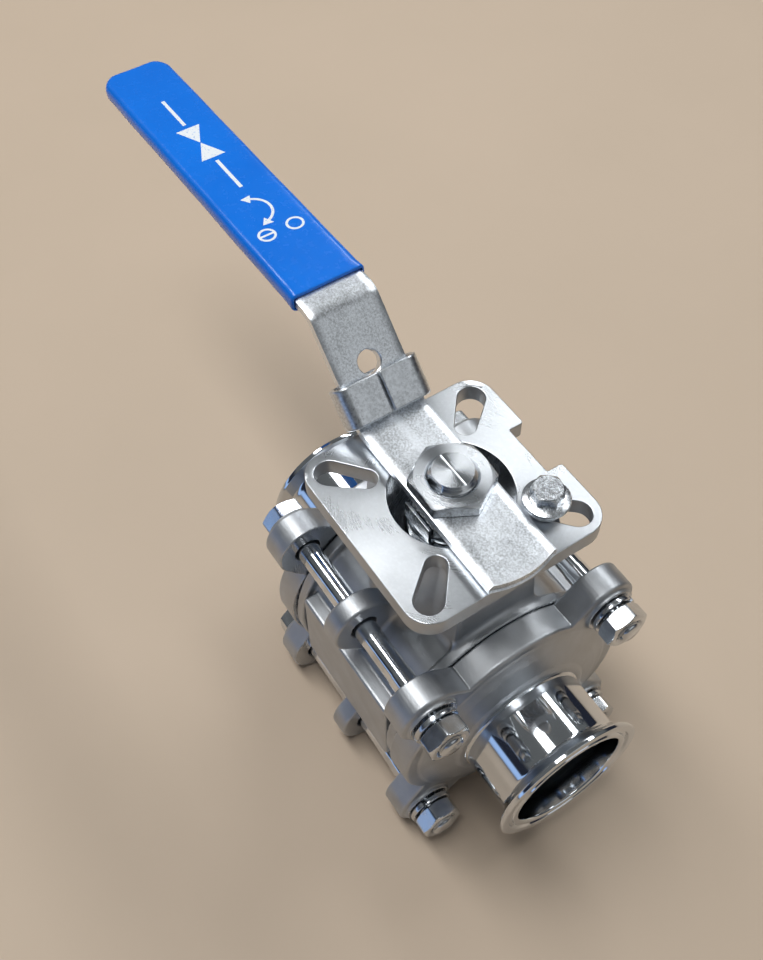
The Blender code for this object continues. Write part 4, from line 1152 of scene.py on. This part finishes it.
# ---- build ------------------------------------------------------------------------------------------
for label, side in (("front", 1), ("rear", -1)):
    end_cap("end_cap_" + label, side)
    ferrule("ferrule_" + label, side)
    weld(label, side)
    seat("seat_" + label, side)
centre_body()
pad_plate()
ball()
stem()
handle()
sleeve()
collar()
tab_washer()
disc_spring("disc_spring_lower", 60.2, 59.5)
disc_spring("disc_spring_upper", 61.2, 61.6)
hex_nut("gland_nut", "z", TAB_WASHER[1] + GAP, 68.9, GLAND_AF, THREAD_R + GAP)
hex_nut("handle_nut", "z", NUT_Z0, NUT_Z1, NUT_AF, THREAD_R + 0.12, [NUT_STEEL, NUT_FACE], both=False,
        flat=0.492, sink=0.45)
stop_bolt()
washer("stop_sleeve_tube", "stop_sleeve", 2.9, STOP_SLEEVE_R, PAD_TOP + GAP, STOP_HEAD[0] - GAP, AT_STOP)
washer("stop_washer_disc", "stop_washer", 2.8, 5.0, 64.7, 65.8, AT_STOP)
hex_nut("stop_nut", "z", 64.3, 60.3, STOP_AF, 2.8, centre=AT_STOP, turn=math.radians(15), n=96)
HEAD_TURN = (48.0, 90.0, 108.6, 70.0)
NUT_TURN = (76.4, 108.5, 99.6, 60.0)
for i, (sy, sz) in enumerate(((1, 1), (-1, -1), (-1, 1), (1, -1))):
    y, z = sy * BOLT_Y, sz * BOLT_Y
    body_bolt(i + 1, y, z, math.radians(HEAD_TURN[i]))
    spring_washer(i + 1, y, z, math.radians(40 + 70 * i))
    hex_nut("body_nut_%d" % (i + 1), "x", BOSS_X + 2 * GAP + SPRING_WASHER_T, BODY_NUT_X, BOLT_AF, 4.1,
            centre=(0, y, z), turn=math.radians(NUT_TURN[i]))
sleeve_marks()

INNER_RINGS = {"packing": PTFE, "thrust": PTFE, "body_gasket": PTFE, "gland_ring": MIRROR}
for name, node in frame["nodes"].items():
    for start, material in INNER_RINGS.items():
        if name.startswith(start):
            node.data.materials.clear()
            node.data.materials.append(material)


# ---- floor, light, camera ---------------------------------------------------------------------------
def floor():
    g = Graph("pale_floor")
    fuzz = g.noise(9.0, 6.0)
    base = g.mix(fuzz, (0.54, 0.435, 0.33, 1.0), (0.60, 0.48, 0.37, 1.0))
    material = g.set(colour=base, rough=0.62, normal=g.bump(g.noise(700.0, 3.0), 0.00002, 0.3))
    mesh = bpy.data.meshes.new("floor")
    size = 3.0
    corners = [(-size, -size, 0), (size, -size, 0), (size, size, 0), (-size, size, 0)]
    mesh.from_pydata(corners, [], [(0, 1, 2, 3)])
    mesh.materials.append(material)
    obj = placed("floor", mesh)


def strip_light(name, place, length, width, power, colour=(1.0, 1.0, 1.0)):
    """Long ceiling lamp parallel to the flow axis, facing the valve's side of the room."""
    data = bpy.data.lights.new(name, "AREA")
    data.energy, data.color = power, colour
    data.shape, data.size, data.size_y = "RECTANGLE", length, width
    obj = placed(name, data)
    obj.location = place
    obj.rotation_euler = (math.atan2(-place[1], place[2]), 0.0, 0.0)


def fill_card():
    """Weak square lamp low at the front, aimed at the valve."""
    data = bpy.data.lights.new("fill_card", "AREA")
    data.energy, data.color, data.size = 0.95, (0.97, 0.99, 1.0), 0.8
    obj = placed("fill_card", data)
    obj.location = (0.95, 0.38, 0.72)
    obj.rotation_euler = (-obj.location).to_track_quat("-Z", "Y").to_euler()


DIM = (0.10, 0.10, 0.10, 1.0)
DARK = (0.02, 0.023, 0.035, 1.0)
GREY = (0.125, 0.13, 0.13, 1.0)
WINDOW = (0.42, 0.62, 1.0, 1.0)
WALLS = ((-180, DIM), (-93, DIM), (-88, WINDOW), (-81, WINDOW), (-79, DARK), (-66, DARK), (-58, GREY),
         (66, GREY), (72, DARK), (93, DARK), (100, DIM), (180, DIM))


def world():
    """Dim room, coloured by the angle about the flow axis: grey ceiling, dark low walls, a bluish window."""
    bg = bpy.data.worlds.new("studio")
    bpy.context.scene.world = bg
    bg.use_nodes = True
    tree = bg.node_tree
    way = tree.nodes.new("ShaderNodeTexCoord").outputs["Generated"]
    split = add_node(tree, "ShaderNodeSeparateXYZ", {0: way})
    sides = {0: split.outputs[1], 1: split.outputs[2]}
    angle = add_node(tree, "ShaderNodeMath", sides, operation="ARCTAN2").outputs[0]
    share = {0: angle, 1: -math.pi, 2: math.pi, 3: 0.0, 4: 1.0}
    ramp = add_node(tree, "ShaderNodeValToRGB", {0: add_node(tree, "ShaderNodeMapRange", share).outputs[0]})
    elements = ramp.color_ramp.elements
    while len(elements) < len(WALLS):
        elements.new(0.5)
    for element, (degrees, colour) in zip(elements, WALLS):
        element.position = (degrees + 180) / 360
        element.color = colour
    tree.links.new(ramp.outputs[0], tree.nodes["Background"].inputs[0])
    tree.nodes["Background"].inputs[1].default_value = 1.0


floor()
world()
strip_light("lamp_near", (-0.50, -0.25, 1.30), 1.5, 0.34, 13.0, (1.0, 0.995, 0.98))
strip_light("lamp_far", (-0.50, 0.84, 1.05), 1.5, 0.20, 7.2, (0.98, 0.995, 1.0))
fill_card()

CAMERA_AT = Vector((144.709, -115.199, 378.181)) * MM
CAMERA_TO = Vector((-43.219, 3.987, 70.546)) * MM
camera_data = bpy.data.cameras.new("camera")
camera_data.sensor_fit = "AUTO"
camera_data.sensor_width = 36.0
camera_data.lens = 43.118
camera_data.shift_x, camera_data.shift_y = 0.0013, -0.0052
camera_data.clip_start, camera_data.clip_end = 0.01, 20.0
camera = placed("camera", camera_data)
look = (CAMERA_TO - CAMERA_AT).to_track_quat("-Z", "Y").to_matrix().to_4x4()
camera.matrix_world = Matrix.Translation(CAMERA_AT) @ look @ Matrix.Rotation(math.radians(-1.07), 4, "Z")
bpy.context.scene.camera = camera
bpy.context.scene.view_settings.view_transform = "Standard"
